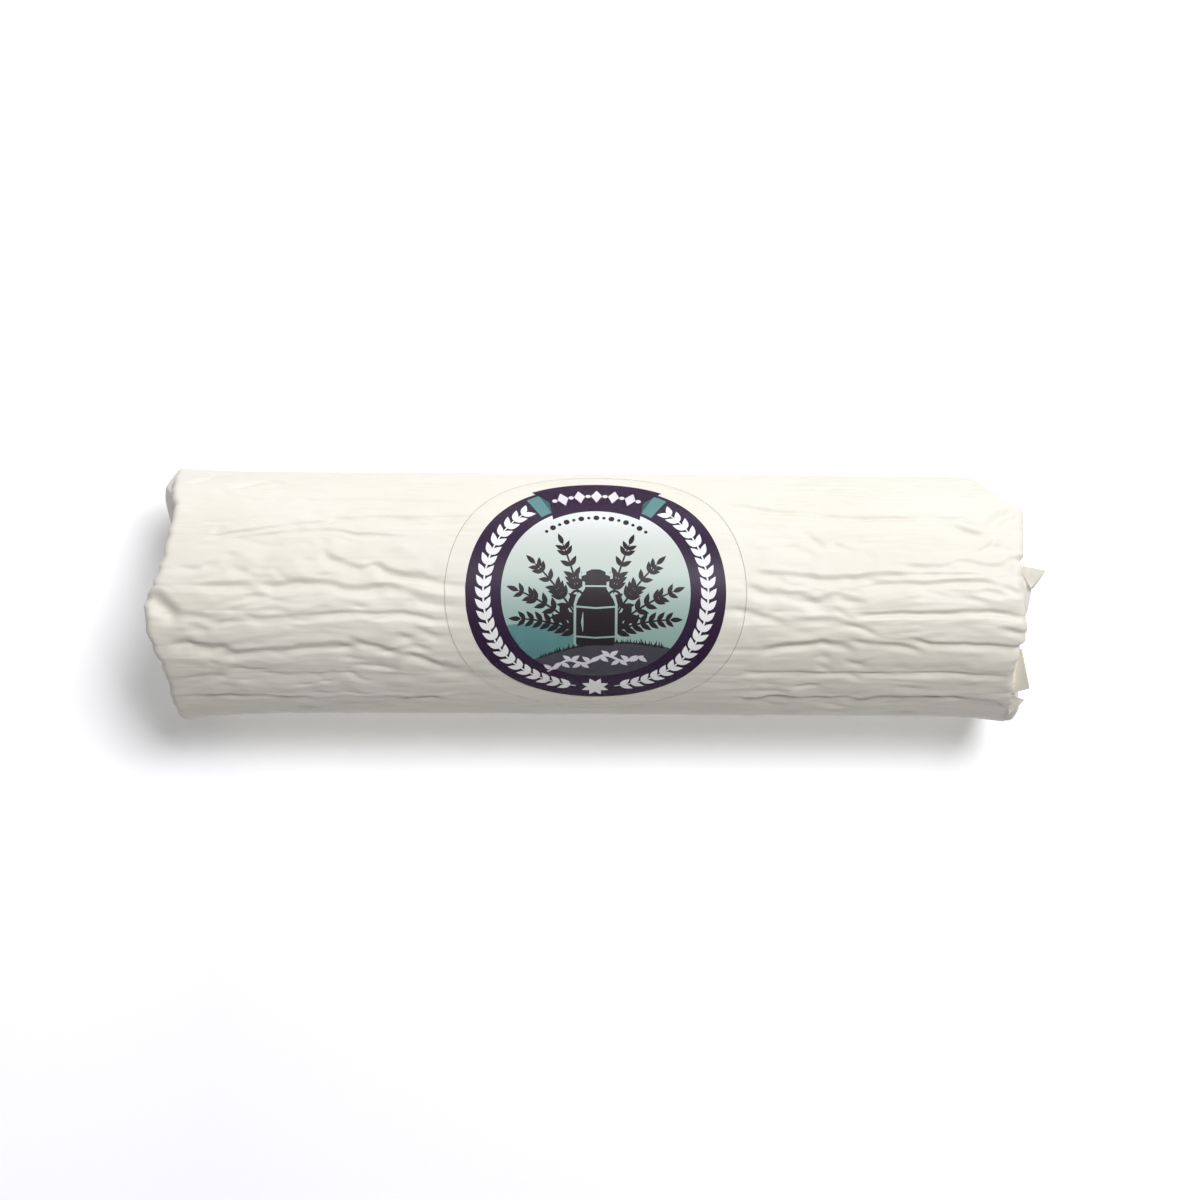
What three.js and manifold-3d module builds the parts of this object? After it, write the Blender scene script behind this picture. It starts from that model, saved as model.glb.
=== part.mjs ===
// A goat cheese log: a round log of soft cheese rolled in white paper, lying on its side, with a
// round clear label on top. The paper is creased along the log and folded over in a fan at both ends.
// Millimetres, +X along the log, +Z up. The origin is on the resting side, below the middle.
import * as THREE from "three";
import { mergeVertices } from "three/addons/utils/BufferGeometryUtils.js";
import Module from "manifold-3d";

// The wrapped log
const RADIUS = 35;
const CIRCUMFERENCE = 2 * Math.PI * RADIUS;
const FLAT_DEPTH = 0.7; // how far the log is pressed flat where it rests
const FLAT_HALF_WIDTH = Math.sqrt(2 * RADIUS * FLAT_DEPTH);
const AXIS_HEIGHT = RADIUS - FLAT_DEPTH;
const RIM_RADIUS = 3.2; // of the rounded edge between side and end
const BODY_STATIONS = 34; // sections along the side
const LINES_PER_STRIP = 4; // a valley, a shoulder, the crown and the other shoulder

// Where the end of the log reaches, as [arc from the top line, distance from the middle].
// Arc is measured round the side, positive towards +Y.
const LEFT_RIM = [
  [-110, 119], [-66, 119.5], [-54, 121.3], [-39, 122.1], [-25, 123.3], [-18, 125.1], [-11.5, 126.8],
  [-6, 127.3], [-2, 126.6], [2, 124.7], [6, 123], [11, 122], [17, 121.1], [27, 120.2], [44, 122.2],
  [56, 122], [66, 120.5], [110, 119],
];
const RIGHT_RIM = [
  [-110, 119], [-60, 118.5], [-46, 120], [-36, 118], [-24, 116.6], [-10, 119.4], [3.5, 118],
  [24, 119], [40, 118.6], [60, 118.5], [110, 119],
];

// Creases that run along the shown side: arc and depth at the left end, then at the right end
const SHOWN_CREASES = [
  [-35, 0.7, -34, 0.9],
  [-25, 0.6, -23.8, 0.9],
  [-15.5, 0.9, -14, 0.9],
  [-6.5, 0.8, -4.7, 1.0],
  [2, 0.9, 5.5, 1.0],
  [14, 0.5, 15.5, 0.4],
  [20.5, 0.5, 24, 0.6],
  [29.5, 0.4, 30.5, 0.6],
  [38.5, 0.4, 40.5, 0.5],
];
const HIDDEN_CREASES = 14;
const HIDDEN_DEPTH = [0.4, 0.9];
const WANDER = 0.9; // how far a crease strays to either side of its line
const NOTCH_DEPTH = 0.6; // how much deeper a crease gets at the rim
const NOTCH_LENGTH = 7;

// The folded ends
const FACE_RINGS = [0.84, 0.66, 0.47, 0.28, 0.11]; // as shares of the face's radius
const FACE_CENTRE = 118.2; // distance from the middle to the gathered centre of an end
const PLEAT_STEP = 1.3; // height of the step where one pleat lies over the next
const PLEAT_TWIST = THREE.MathUtils.degToRad(26); // from the rim to the centre
const LEFT_BULGE = { arc: 41, width: 17, height: 2.6 };
const RIGHT_BULGE = { arc: -28, width: 9, height: 1.4 };

// Where the side swells out towards an end, or shrinks a little. Length is how fast that fades.
const FLARES = [
  { side: -1, arc: 52, width: 9, height: 0.9, length: 10 },
  { side: -1, arc: -56, width: 9, height: 1.9, length: 10 },
  { side: 1, arc: -54, width: 12, height: 1.6, length: 10 },
  { side: -1, arc: -54, width: 24, height: 1, length: 24 },
  { side: -1, arc: 54, width: 24, height: -0.4, length: 60 },
  { side: 1, arc: -54, width: 24, height: -0.4, length: 60 },
  { side: 1, arc: 52, width: 24, height: -0.3, length: 80 },
];
const FLARE_FADE = 20; // the distance from the log's middle within which they die out

// A shallow flattened band along the side towards -Y
const SIDE_DENT = { arc: -31, width: 24, depth: 1.3 };

// The squashed corner of the right end: a facet through these two points of the outline
const FACET_START = new THREE.Vector2(103.9, 35.9);
const FACET_END = new THREE.Vector2(120.2, 22.9);
const FACET_FLATNESS = 0.94;

// The small paper ear that stands out of the right end
const EAR_OUTLINE = [[-4, -1.5], [0, 7.6], [6.6, 6.4], [3.4, 1.8], [1.2, -4.4], [-4, -6]];
const EAR_THICKNESS = 0.8;
const EAR_BASE = new THREE.Vector3(118, 0.6, AXIS_HEIGHT + 27.5);
const EAR_TILT = THREE.MathUtils.degToRad(-14);

// The round label of clear film
const LABEL = { x: -1.2, arc: 0.2, radius: 42 };
const LABEL_THICKNESS = 0.3;
const LABEL_GAP = 0.3; // clearance over the paper
const LABEL_RINGS = 8;
const LABEL_SECTORS = 48;
const CALM_RELIEF = 0.08; // share of the crease depth that is left under the label
const CALM_BORDER = 9;

const PAPER = new THREE.MeshStandardMaterial({ color: 0xf1eee4, roughness: 0.55, metalness: 0 });
const PRINTED_FILM = new THREE.MeshStandardMaterial({ color: 0x41354a, roughness: 0.2, metalness: 0 });

// A repeatable stream of numbers from 0 to 1.
function seededRandom(seed) {
  let state = seed;
  return () => {
    state = (state * 1664525 + 1013904223) % 4294967296;
    return state / 4294967296;
  };
}

const random = seededRandom(7);
const between = (low, high) => THREE.MathUtils.lerp(low, high, random());

// The value at one arc of a list of [arc, value] points, smoothly joined.
function along(points, arc) {
  const next = points.findIndex(([at]) => at >= arc);
  if (next <= 0) return points[next === 0 ? 0 : points.length - 1][1];
  const [a0, v0] = points[next - 1];
  const [a1, v1] = points[next];
  return THREE.MathUtils.lerp(v0, v1, THREE.MathUtils.smoothstep(arc, a0, a1));
}

// An arc brought into the range either side of the top line.
function wrapArc(arc) {
  return arc - CIRCUMFERENCE * Math.round(arc / CIRCUMFERENCE);
}

// 1 at a place on the side, falling to 0 a width away from it.
function bump(arc, centre, width) {
  const distance = Math.abs(wrapArc(arc - centre)) / width;
  return distance >= 1 ? 0 : Math.cos((distance * Math.PI) / 2) ** 2;
}

// The radius of the log without its creases.
function logRadius(arc) {
  return RADIUS - SIDE_DENT.depth * bump(arc, SIDE_DENT.arc, SIDE_DENT.width);
}

// 0 under the label, 1 on the open paper.
function openness(x, arc) {
  const distance = Math.hypot(x - LABEL.x, wrapArc(arc) - LABEL.arc);
  return THREE.MathUtils.smoothstep(distance, LABEL.radius - 2, LABEL.radius + CALM_BORDER);
}

// One crease line: its arc and depth at both ends, and how it strays between them.
function creaseLine([leftArc, leftDepth, rightArc, rightDepth], stray = WANDER) {
  const waves = between(1.2, 2.6);
  const phase = between(0, 2 * Math.PI);
  return {
    arc: (share) =>
      THREE.MathUtils.lerp(leftArc, rightArc, share) +
      stray * Math.sin(2 * Math.PI * waves * share + phase),
    depth: (share) => THREE.MathUtils.lerp(leftDepth, rightDepth, share),
  };
}

// Every crease round the log, in order of arc: the flat, the hidden side, the shown side, the
// hidden side again.
function allCreases() {
  const flatEdge = CIRCUMFERENCE / 2 - FLAT_HALF_WIDTH;
  const lowestShown = SHOWN_CREASES[0][0];
  const highestShown = SHOWN_CREASES[SHOWN_CREASES.length - 1][0];
  const perSide = HIDDEN_CREASES / 2;
  const hidden = (from, to) =>
    Array.from({ length: perSide - 1 }, (_, i) => {
      const arc = THREE.MathUtils.lerp(from, to, (i + 1) / perSide);
      const [left, right] = [arc + between(-1.2, 1.2), arc + between(-1.2, 1.2)];
      return creaseLine([left, between(...HIDDEN_DEPTH), right, between(...HIDDEN_DEPTH)]);
    });
  return [
    creaseLine([-flatEdge, 0, -flatEdge, 0], 0),
    ...hidden(-flatEdge, lowestShown),
    ...SHOWN_CREASES.map((row) => creaseLine(row)),
    ...hidden(highestShown, flatEdge),
    creaseLine([flatEdge, 0, flatEdge, 0], 0),
  ];
}

// Each strip of paper between two creases, as lines along the log. Height 0 is the strip's crown
// and 1 is the bottom of its valley. Fold is how far a pleat has risen across the strip.
function stripLines(creases) {
  const shape = [1, 0.2, 0, 0.2];
  return creases.flatMap((crease, i) => {
    const last = i === creases.length - 1;
    const next = creases[(i + 1) % creases.length];
    const turn = last ? CIRCUMFERENCE : 0;
    return shape.map((valley, k) => ({
      arc: (share) =>
        THREE.MathUtils.lerp(crease.arc(share), next.arc(share) + turn, k / LINES_PER_STRIP),
      depth: (share) =>
        valley * (k > LINES_PER_STRIP / 2 ? next.depth(share) : crease.depth(share)),
      fold: k / (LINES_PER_STRIP - 1),
    }));
  });
}

// How far the side stands off the plain round log at one place.
function relief(line, share, x, arc, rimDistance) {
  const depth = line.depth(share);
  const open = THREE.MathUtils.lerp(CALM_RELIEF, 1, openness(x, arc));
  const notch = NOTCH_DEPTH * depth * Math.exp(-rimDistance / NOTCH_LENGTH);
  const swell = FLARES.reduce((sum, flare) => {
    const here = THREE.MathUtils.smoothstep(flare.side * x, 0, FLARE_FADE);
    const fade = Math.exp(-rimDistance / flare.length);
    return sum + here * fade * flare.height * bump(arc, flare.arc, flare.width);
  }, 0);
  return swell - depth * open - notch;
}

// The end of the log at one arc: its rim's distance from the middle, on the given side.
function rimReach(side, arc) {
  return along(side < 0 ? LEFT_RIM : RIGHT_RIM, wrapArc(arc));
}

// A place given by the distance along the log, the angle from the top line and the radius.
function place(x, angle, radius) {
  const z = AXIS_HEIGHT + radius * Math.cos(angle);
  return new THREE.Vector3(x, radius * Math.sin(angle), Math.max(z, 0));
}

// The squashed corner: what stands out beyond the facet is pushed back onto it.
function squashCorner(point) {
  const run = new THREE.Vector2().subVectors(FACET_END, FACET_START);
  const normal = new THREE.Vector2(-run.y, run.x).normalize();
  const beyond = normal.x * (point.x - FACET_START.x) + normal.y * (point.y - FACET_START.y);
  if (beyond > 0) {
    point.x -= normal.x * beyond * FACET_FLATNESS;
    point.y -= normal.y * beyond * FACET_FLATNESS;
  }
  return point;
}

// One section of the side: a ring of points a share of the way from the left rim to the right.
function sideRow(lines, share) {
  return lines.map((line) => {
    const arc = line.arc(share);
    const left = RIM_RADIUS - rimReach(-1, arc);
    const right = rimReach(1, arc) - RIM_RADIUS;
    const x = THREE.MathUtils.lerp(left, right, share);
    const rimDistance = Math.min(x - left, right - x);
    const radius = logRadius(arc) + relief(line, share, x, arc, rimDistance);
    return squashCorner(place(x, arc / RADIUS, radius));
  });
}

// One ring of the rounded rim, at an angle from the side (0) to the end face (a quarter turn).
function rimRow(lines, side, turn) {
  const share = side < 0 ? 0 : 1;
  return lines.map((line) => {
    const arc = line.arc(share);
    const x = side * (rimReach(side, arc) - RIM_RADIUS * (1 - Math.sin(turn)));
    const rounding = RIM_RADIUS * (1 - Math.cos(turn));
    const radius = logRadius(arc) + relief(line, share, x, arc, 0) - rounding;
    return squashCorner(place(x, arc / RADIUS, radius));
  });
}

// One ring of an end face, whose pleats lie over each other like a fan.
function faceRow(lines, side, ring) {
  const share = side < 0 ? 0 : 1;
  const bulge = side < 0 ? LEFT_BULGE : RIGHT_BULGE;
  return lines.map((line) => {
    const arc = line.arc(share);
    const outer = logRadius(arc) - RIM_RADIUS + relief(line, share, side * FACE_CENTRE, arc, 0);
    const dish = THREE.MathUtils.lerp(FACE_CENTRE, rimReach(side, arc), ring * ring);
    const swell = bulge.height * bump(arc, bulge.arc, bulge.width) * Math.sin(Math.PI * ring ** 4);
    const pleat = PLEAT_STEP * (line.fold - 0.5) * Math.sqrt(ring) * (1 - ring ** 8);
    const angle = arc / RADIUS + PLEAT_TWIST * (1 - ring);
    return squashCorner(place(side * (dish + swell + pleat), angle, ring * outer));
  });
}

// A closed surface through rings of points, with a point at either end.
function closedSurface(rows, firstPole, lastPole) {
  const count = rows[0].length;
  const points = [firstPole, ...rows.flat(), lastPole];
  const faces = [];
  const at = (row, i) => 1 + row * count + (i % count);
  for (let i = 0; i < count; i++) {
    faces.push(0, at(0, i), at(0, i + 1));
    faces.push(points.length - 1, at(rows.length - 1, i + 1), at(rows.length - 1, i));
    for (let row = 0; row < rows.length - 1; row++) {
      faces.push(at(row, i), at(row + 1, i), at(row + 1, i + 1));
      faces.push(at(row, i), at(row + 1, i + 1), at(row, i + 1));
    }
  }
  const geometry = new THREE.BufferGeometry().setFromPoints(points);
  geometry.setIndex(faces);
  return geometry;
}

// The log in its paper, without the ear.
function wrappedBody() {
  const lines = stripLines(allCreases());
  const shares = Array.from({ length: BODY_STATIONS }, (_, i) => {
    const even = i / (BODY_STATIONS - 1);
    return even - 0.05 * Math.sin(2 * Math.PI * even); // closer together near the ends
  });
  const rimTurns = [1 / 3, 2 / 3, 1].map((part) => (part * Math.PI) / 2);
  const rows = [
    ...FACE_RINGS.toReversed().map((ring) => faceRow(lines, -1, ring)),
    ...rimTurns.toReversed().map((turn) => rimRow(lines, -1, turn)),
    ...shares.map((share) => sideRow(lines, share)),
    ...rimTurns.map((turn) => rimRow(lines, 1, turn)),
    ...FACE_RINGS.map((ring) => faceRow(lines, 1, ring)),
  ];
  const pole = (side) => new THREE.Vector3(side * FACE_CENTRE, 0, AXIS_HEIGHT);
  return closedSurface(rows, pole(-1), pole(1));
}

// The ear: a thin folded corner of paper that lies nearly level.
function paperEar() {
  const outline = new THREE.Shape(EAR_OUTLINE.map(([x, y]) => new THREE.Vector2(x, y)));
  const ear = new THREE.ExtrudeGeometry(outline, { depth: EAR_THICKNESS, bevelEnabled: false });
  ear.rotateX(EAR_TILT);
  ear.translate(EAR_BASE.x, EAR_BASE.y, EAR_BASE.z);
  return ear;
}

// Two closed shapes joined into one.
async function joined(first, second) {
  const wasm = await Module();
  wasm.setup();
  const solid = (geometry) => {
    const bare = geometry.clone();
    bare.deleteAttribute("normal");
    bare.deleteAttribute("uv");
    const merged = mergeVertices(bare, 1e-4);
    const mesh = new wasm.Mesh({
      numProp: 3,
      vertProperties: new Float32Array(merged.attributes.position.array),
      triVerts: new Uint32Array(merged.index.array),
    });
    return new wasm.Manifold(mesh);
  };
  const mesh = solid(first).add(solid(second)).getMesh();
  const geometry = new THREE.BufferGeometry();
  geometry.setAttribute("position", new THREE.BufferAttribute(mesh.vertProperties, mesh.numProp));
  geometry.setIndex(new THREE.BufferAttribute(mesh.triVerts, 1));
  return geometry;
}

// The label: a thin disc that follows the round of the log.
function labelDisc() {
  const ringAt = (radius, height) =>
    Array.from({ length: LABEL_SECTORS }, (_, i) => {
      const turn = (2 * Math.PI * i) / LABEL_SECTORS;
      const x = LABEL.x + radius * Math.cos(turn);
      const arc = LABEL.arc + radius * Math.sin(turn);
      return place(x, arc / RADIUS, logRadius(arc) + height);
    });
  const centre = (height) => place(LABEL.x, LABEL.arc / RADIUS, RADIUS + height);
  const radii = Array.from({ length: LABEL_RINGS }, (_, i) => (LABEL.radius * (i + 1)) / LABEL_RINGS);
  const top = LABEL_GAP + LABEL_THICKNESS;
  const rows = [
    ...radii.map((radius) => ringAt(radius, top)),
    ...radii.toReversed().map((radius) => ringAt(radius, LABEL_GAP)),
  ];
  return closedSurface(rows, centre(top), centre(LABEL_GAP));
}

function namedMesh(name, geometry, material) {
  geometry.computeVertexNormals();
  const mesh = new THREE.Mesh(geometry, material);
  mesh.name = name;
  return mesh;
}

const cheeseLog = new THREE.Group();
cheeseLog.name = "goat_cheese_log";
cheeseLog.add(namedMesh("wrapped_log", await joined(wrappedBody(), paperEar()), PAPER));
cheeseLog.add(namedMesh("round_label", labelDisc(), PRINTED_FILM));

export default cheeseLog;
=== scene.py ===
"""A goat cheese log in creased white paper, seen from straight above, with a round clear label.

The paper is one fine mesh: a side that follows the creases, rounded rims and two ends folded in
a fan. The label is a clear film over a printed sheet, whose fields of colour are cut out of one
triangulated surface. Lengths are millimetres in the making, and metres in Blender.
"""
import math

import bpy
import numpy as np
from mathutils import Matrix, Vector
from mathutils.geometry import delaunay_2d_cdt


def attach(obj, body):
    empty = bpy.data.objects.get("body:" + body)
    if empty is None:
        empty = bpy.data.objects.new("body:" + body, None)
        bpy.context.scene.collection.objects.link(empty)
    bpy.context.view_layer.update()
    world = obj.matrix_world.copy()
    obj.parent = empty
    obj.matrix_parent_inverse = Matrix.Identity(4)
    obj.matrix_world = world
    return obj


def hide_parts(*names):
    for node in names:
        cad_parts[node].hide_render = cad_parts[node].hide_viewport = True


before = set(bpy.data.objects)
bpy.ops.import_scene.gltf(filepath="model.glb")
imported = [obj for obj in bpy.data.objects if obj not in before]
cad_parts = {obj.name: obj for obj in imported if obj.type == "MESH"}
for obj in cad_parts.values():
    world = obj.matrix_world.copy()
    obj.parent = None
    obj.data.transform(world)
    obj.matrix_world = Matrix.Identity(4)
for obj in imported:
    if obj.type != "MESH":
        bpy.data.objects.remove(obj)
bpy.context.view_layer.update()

MM = 0.001

# The wrapped log, with the solid's numbers and a few finer steps in its rims. Arc is measured
# round the log from the line along its top, and is positive towards +Y. The left end is side -1.
RADIUS = 35.0
CIRCUMFERENCE = 2 * math.pi * RADIUS
FLAT_DEPTH = 0.7
FLAT_EDGE = CIRCUMFERENCE / 2 - math.sqrt(2 * RADIUS * FLAT_DEPTH)
AXIS_HEIGHT = RADIUS - FLAT_DEPTH
RIMS = {  # where each end reaches, as (arc, distance from the middle)
    -1: [
        (-110, 119), (-66, 119.5), (-54, 121.3), (-46, 121.9), (-39, 122.1), (-33, 122.4),
        (-25, 123.3), (-18, 125.1), (-11.5, 126.8), (-6, 127.3), (-2, 126.6), (2, 124.7),
        (6, 123), (11, 122), (17, 121.1), (22, 120.4), (27, 120.2), (33, 121.4), (44, 122.2),
        (56, 122), (66, 120.5), (110, 119)],
    1: [
        (-110, 119), (-60, 118.5), (-46, 120.2), (-36, 118), (-24, 116.6), (-17.5, 117.8),
        (-15.4, 117.3), (-13, 119.2), (-10, 119.4), (-5.5, 119), (-1, 118.3), (3.5, 118),
        (9, 118.3), (10.8, 117.4), (12.5, 118.4), (24, 119), (40, 118.6), (60, 118.5), (110, 119)],
}
SHOWN_CREASES = [  # plain creases: arc and depth at the left end, then at the right end
    (-35, 0.7, -34, 0.9), (-25, 0.6, -23.8, 0.9), (-15.5, 0.9, -14, 0.9),
    (-6.5, 0.8, -4.7, 1.0), (2, 0.9, 5.5, 1.0), (14, 0.5, 15.5, 0.4),
    (20.5, 0.5, 24, 0.6), (29.5, 0.4, 30.5, 0.6), (38.5, 0.4, 40.5, 0.5),
]
HIDDEN_CREASES = 14
HIDDEN_DEPTH = (0.4, 0.9)
HIDDEN_SPREAD = 1.2  # how far the hidden ones lie off an even spacing
WAVES = (1.2, 2.6)  # of a plain crease along the log
WANDER = 0.9  # how far a plain crease strays from its line
NOTCH_DEPTH = 0.6  # how much deeper it gets at the rim
NOTCH_LENGTH = 7
FACE_CENTRE = 118.2  # from the middle to the gathered centre of an end
PLEAT_STEP = 1.3
PLEAT_TWIST = math.radians(26)
BULGES = {-1: (41, 17, 2.6), 1: (-28, 9, 1.4)}  # arc, width and height on each end face
FLARES = [  # where the side swells or shrinks near an end: side, arc, width, height, length
    (-1, 52, 9, 0.9, 10), (-1, -56, 9, 1.9, 10), (1, -54, 12, 1.6, 10), (-1, -54, 24, 1.0, 24),
    (-1, 54, 24, -0.4, 60), (1, -54, 24, -0.4, 60), (1, 52, 24, -0.3, 80),
]
FACET_START, FACET_END = (103.9, 35.9), (120.2, 22.9)  # the squashed corner, seen from above
FACET_FLATNESS = 0.94
SIDE_DENT = (-31, 24, 1.3)  # arc, width and depth of a flattened band along the log

# The fine mesh of the paper
SHOWN_COLUMNS = 30  # columns in each strip of paper that shows
HIDDEN_COLUMNS = 8  # and in each other strip
SHOWN_FROM, SHOWN_TO = -48, 48  # arcs between which the side shows
OPEN_ROWS = 82  # rows on either side of the label
CALM_ROWS = 20  # and across its middle
CALM_HALF = 40.0
RIM_ROWS = 6
FACE_ROWS = 22
EDGE_RADIUS = 2.0  # of the paper's own edge at the rim, crisper than the solid's
RIM_NOTCH = 1.1  # how far a crease pulls the rim in, for each millimetre of its depth
PINCH_WIDTH = 0.9
RIM_UNEVENNESS = 0.3
GROOVE_WIDTH = 1.2
SHOWN_SHARE = 0.08  # of the plain creases that is left where the finer ones below are drawn
RIM_SHARE = {-1: 0.12, 1: 0.2}  # and of their folds over the left and right rim

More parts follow.
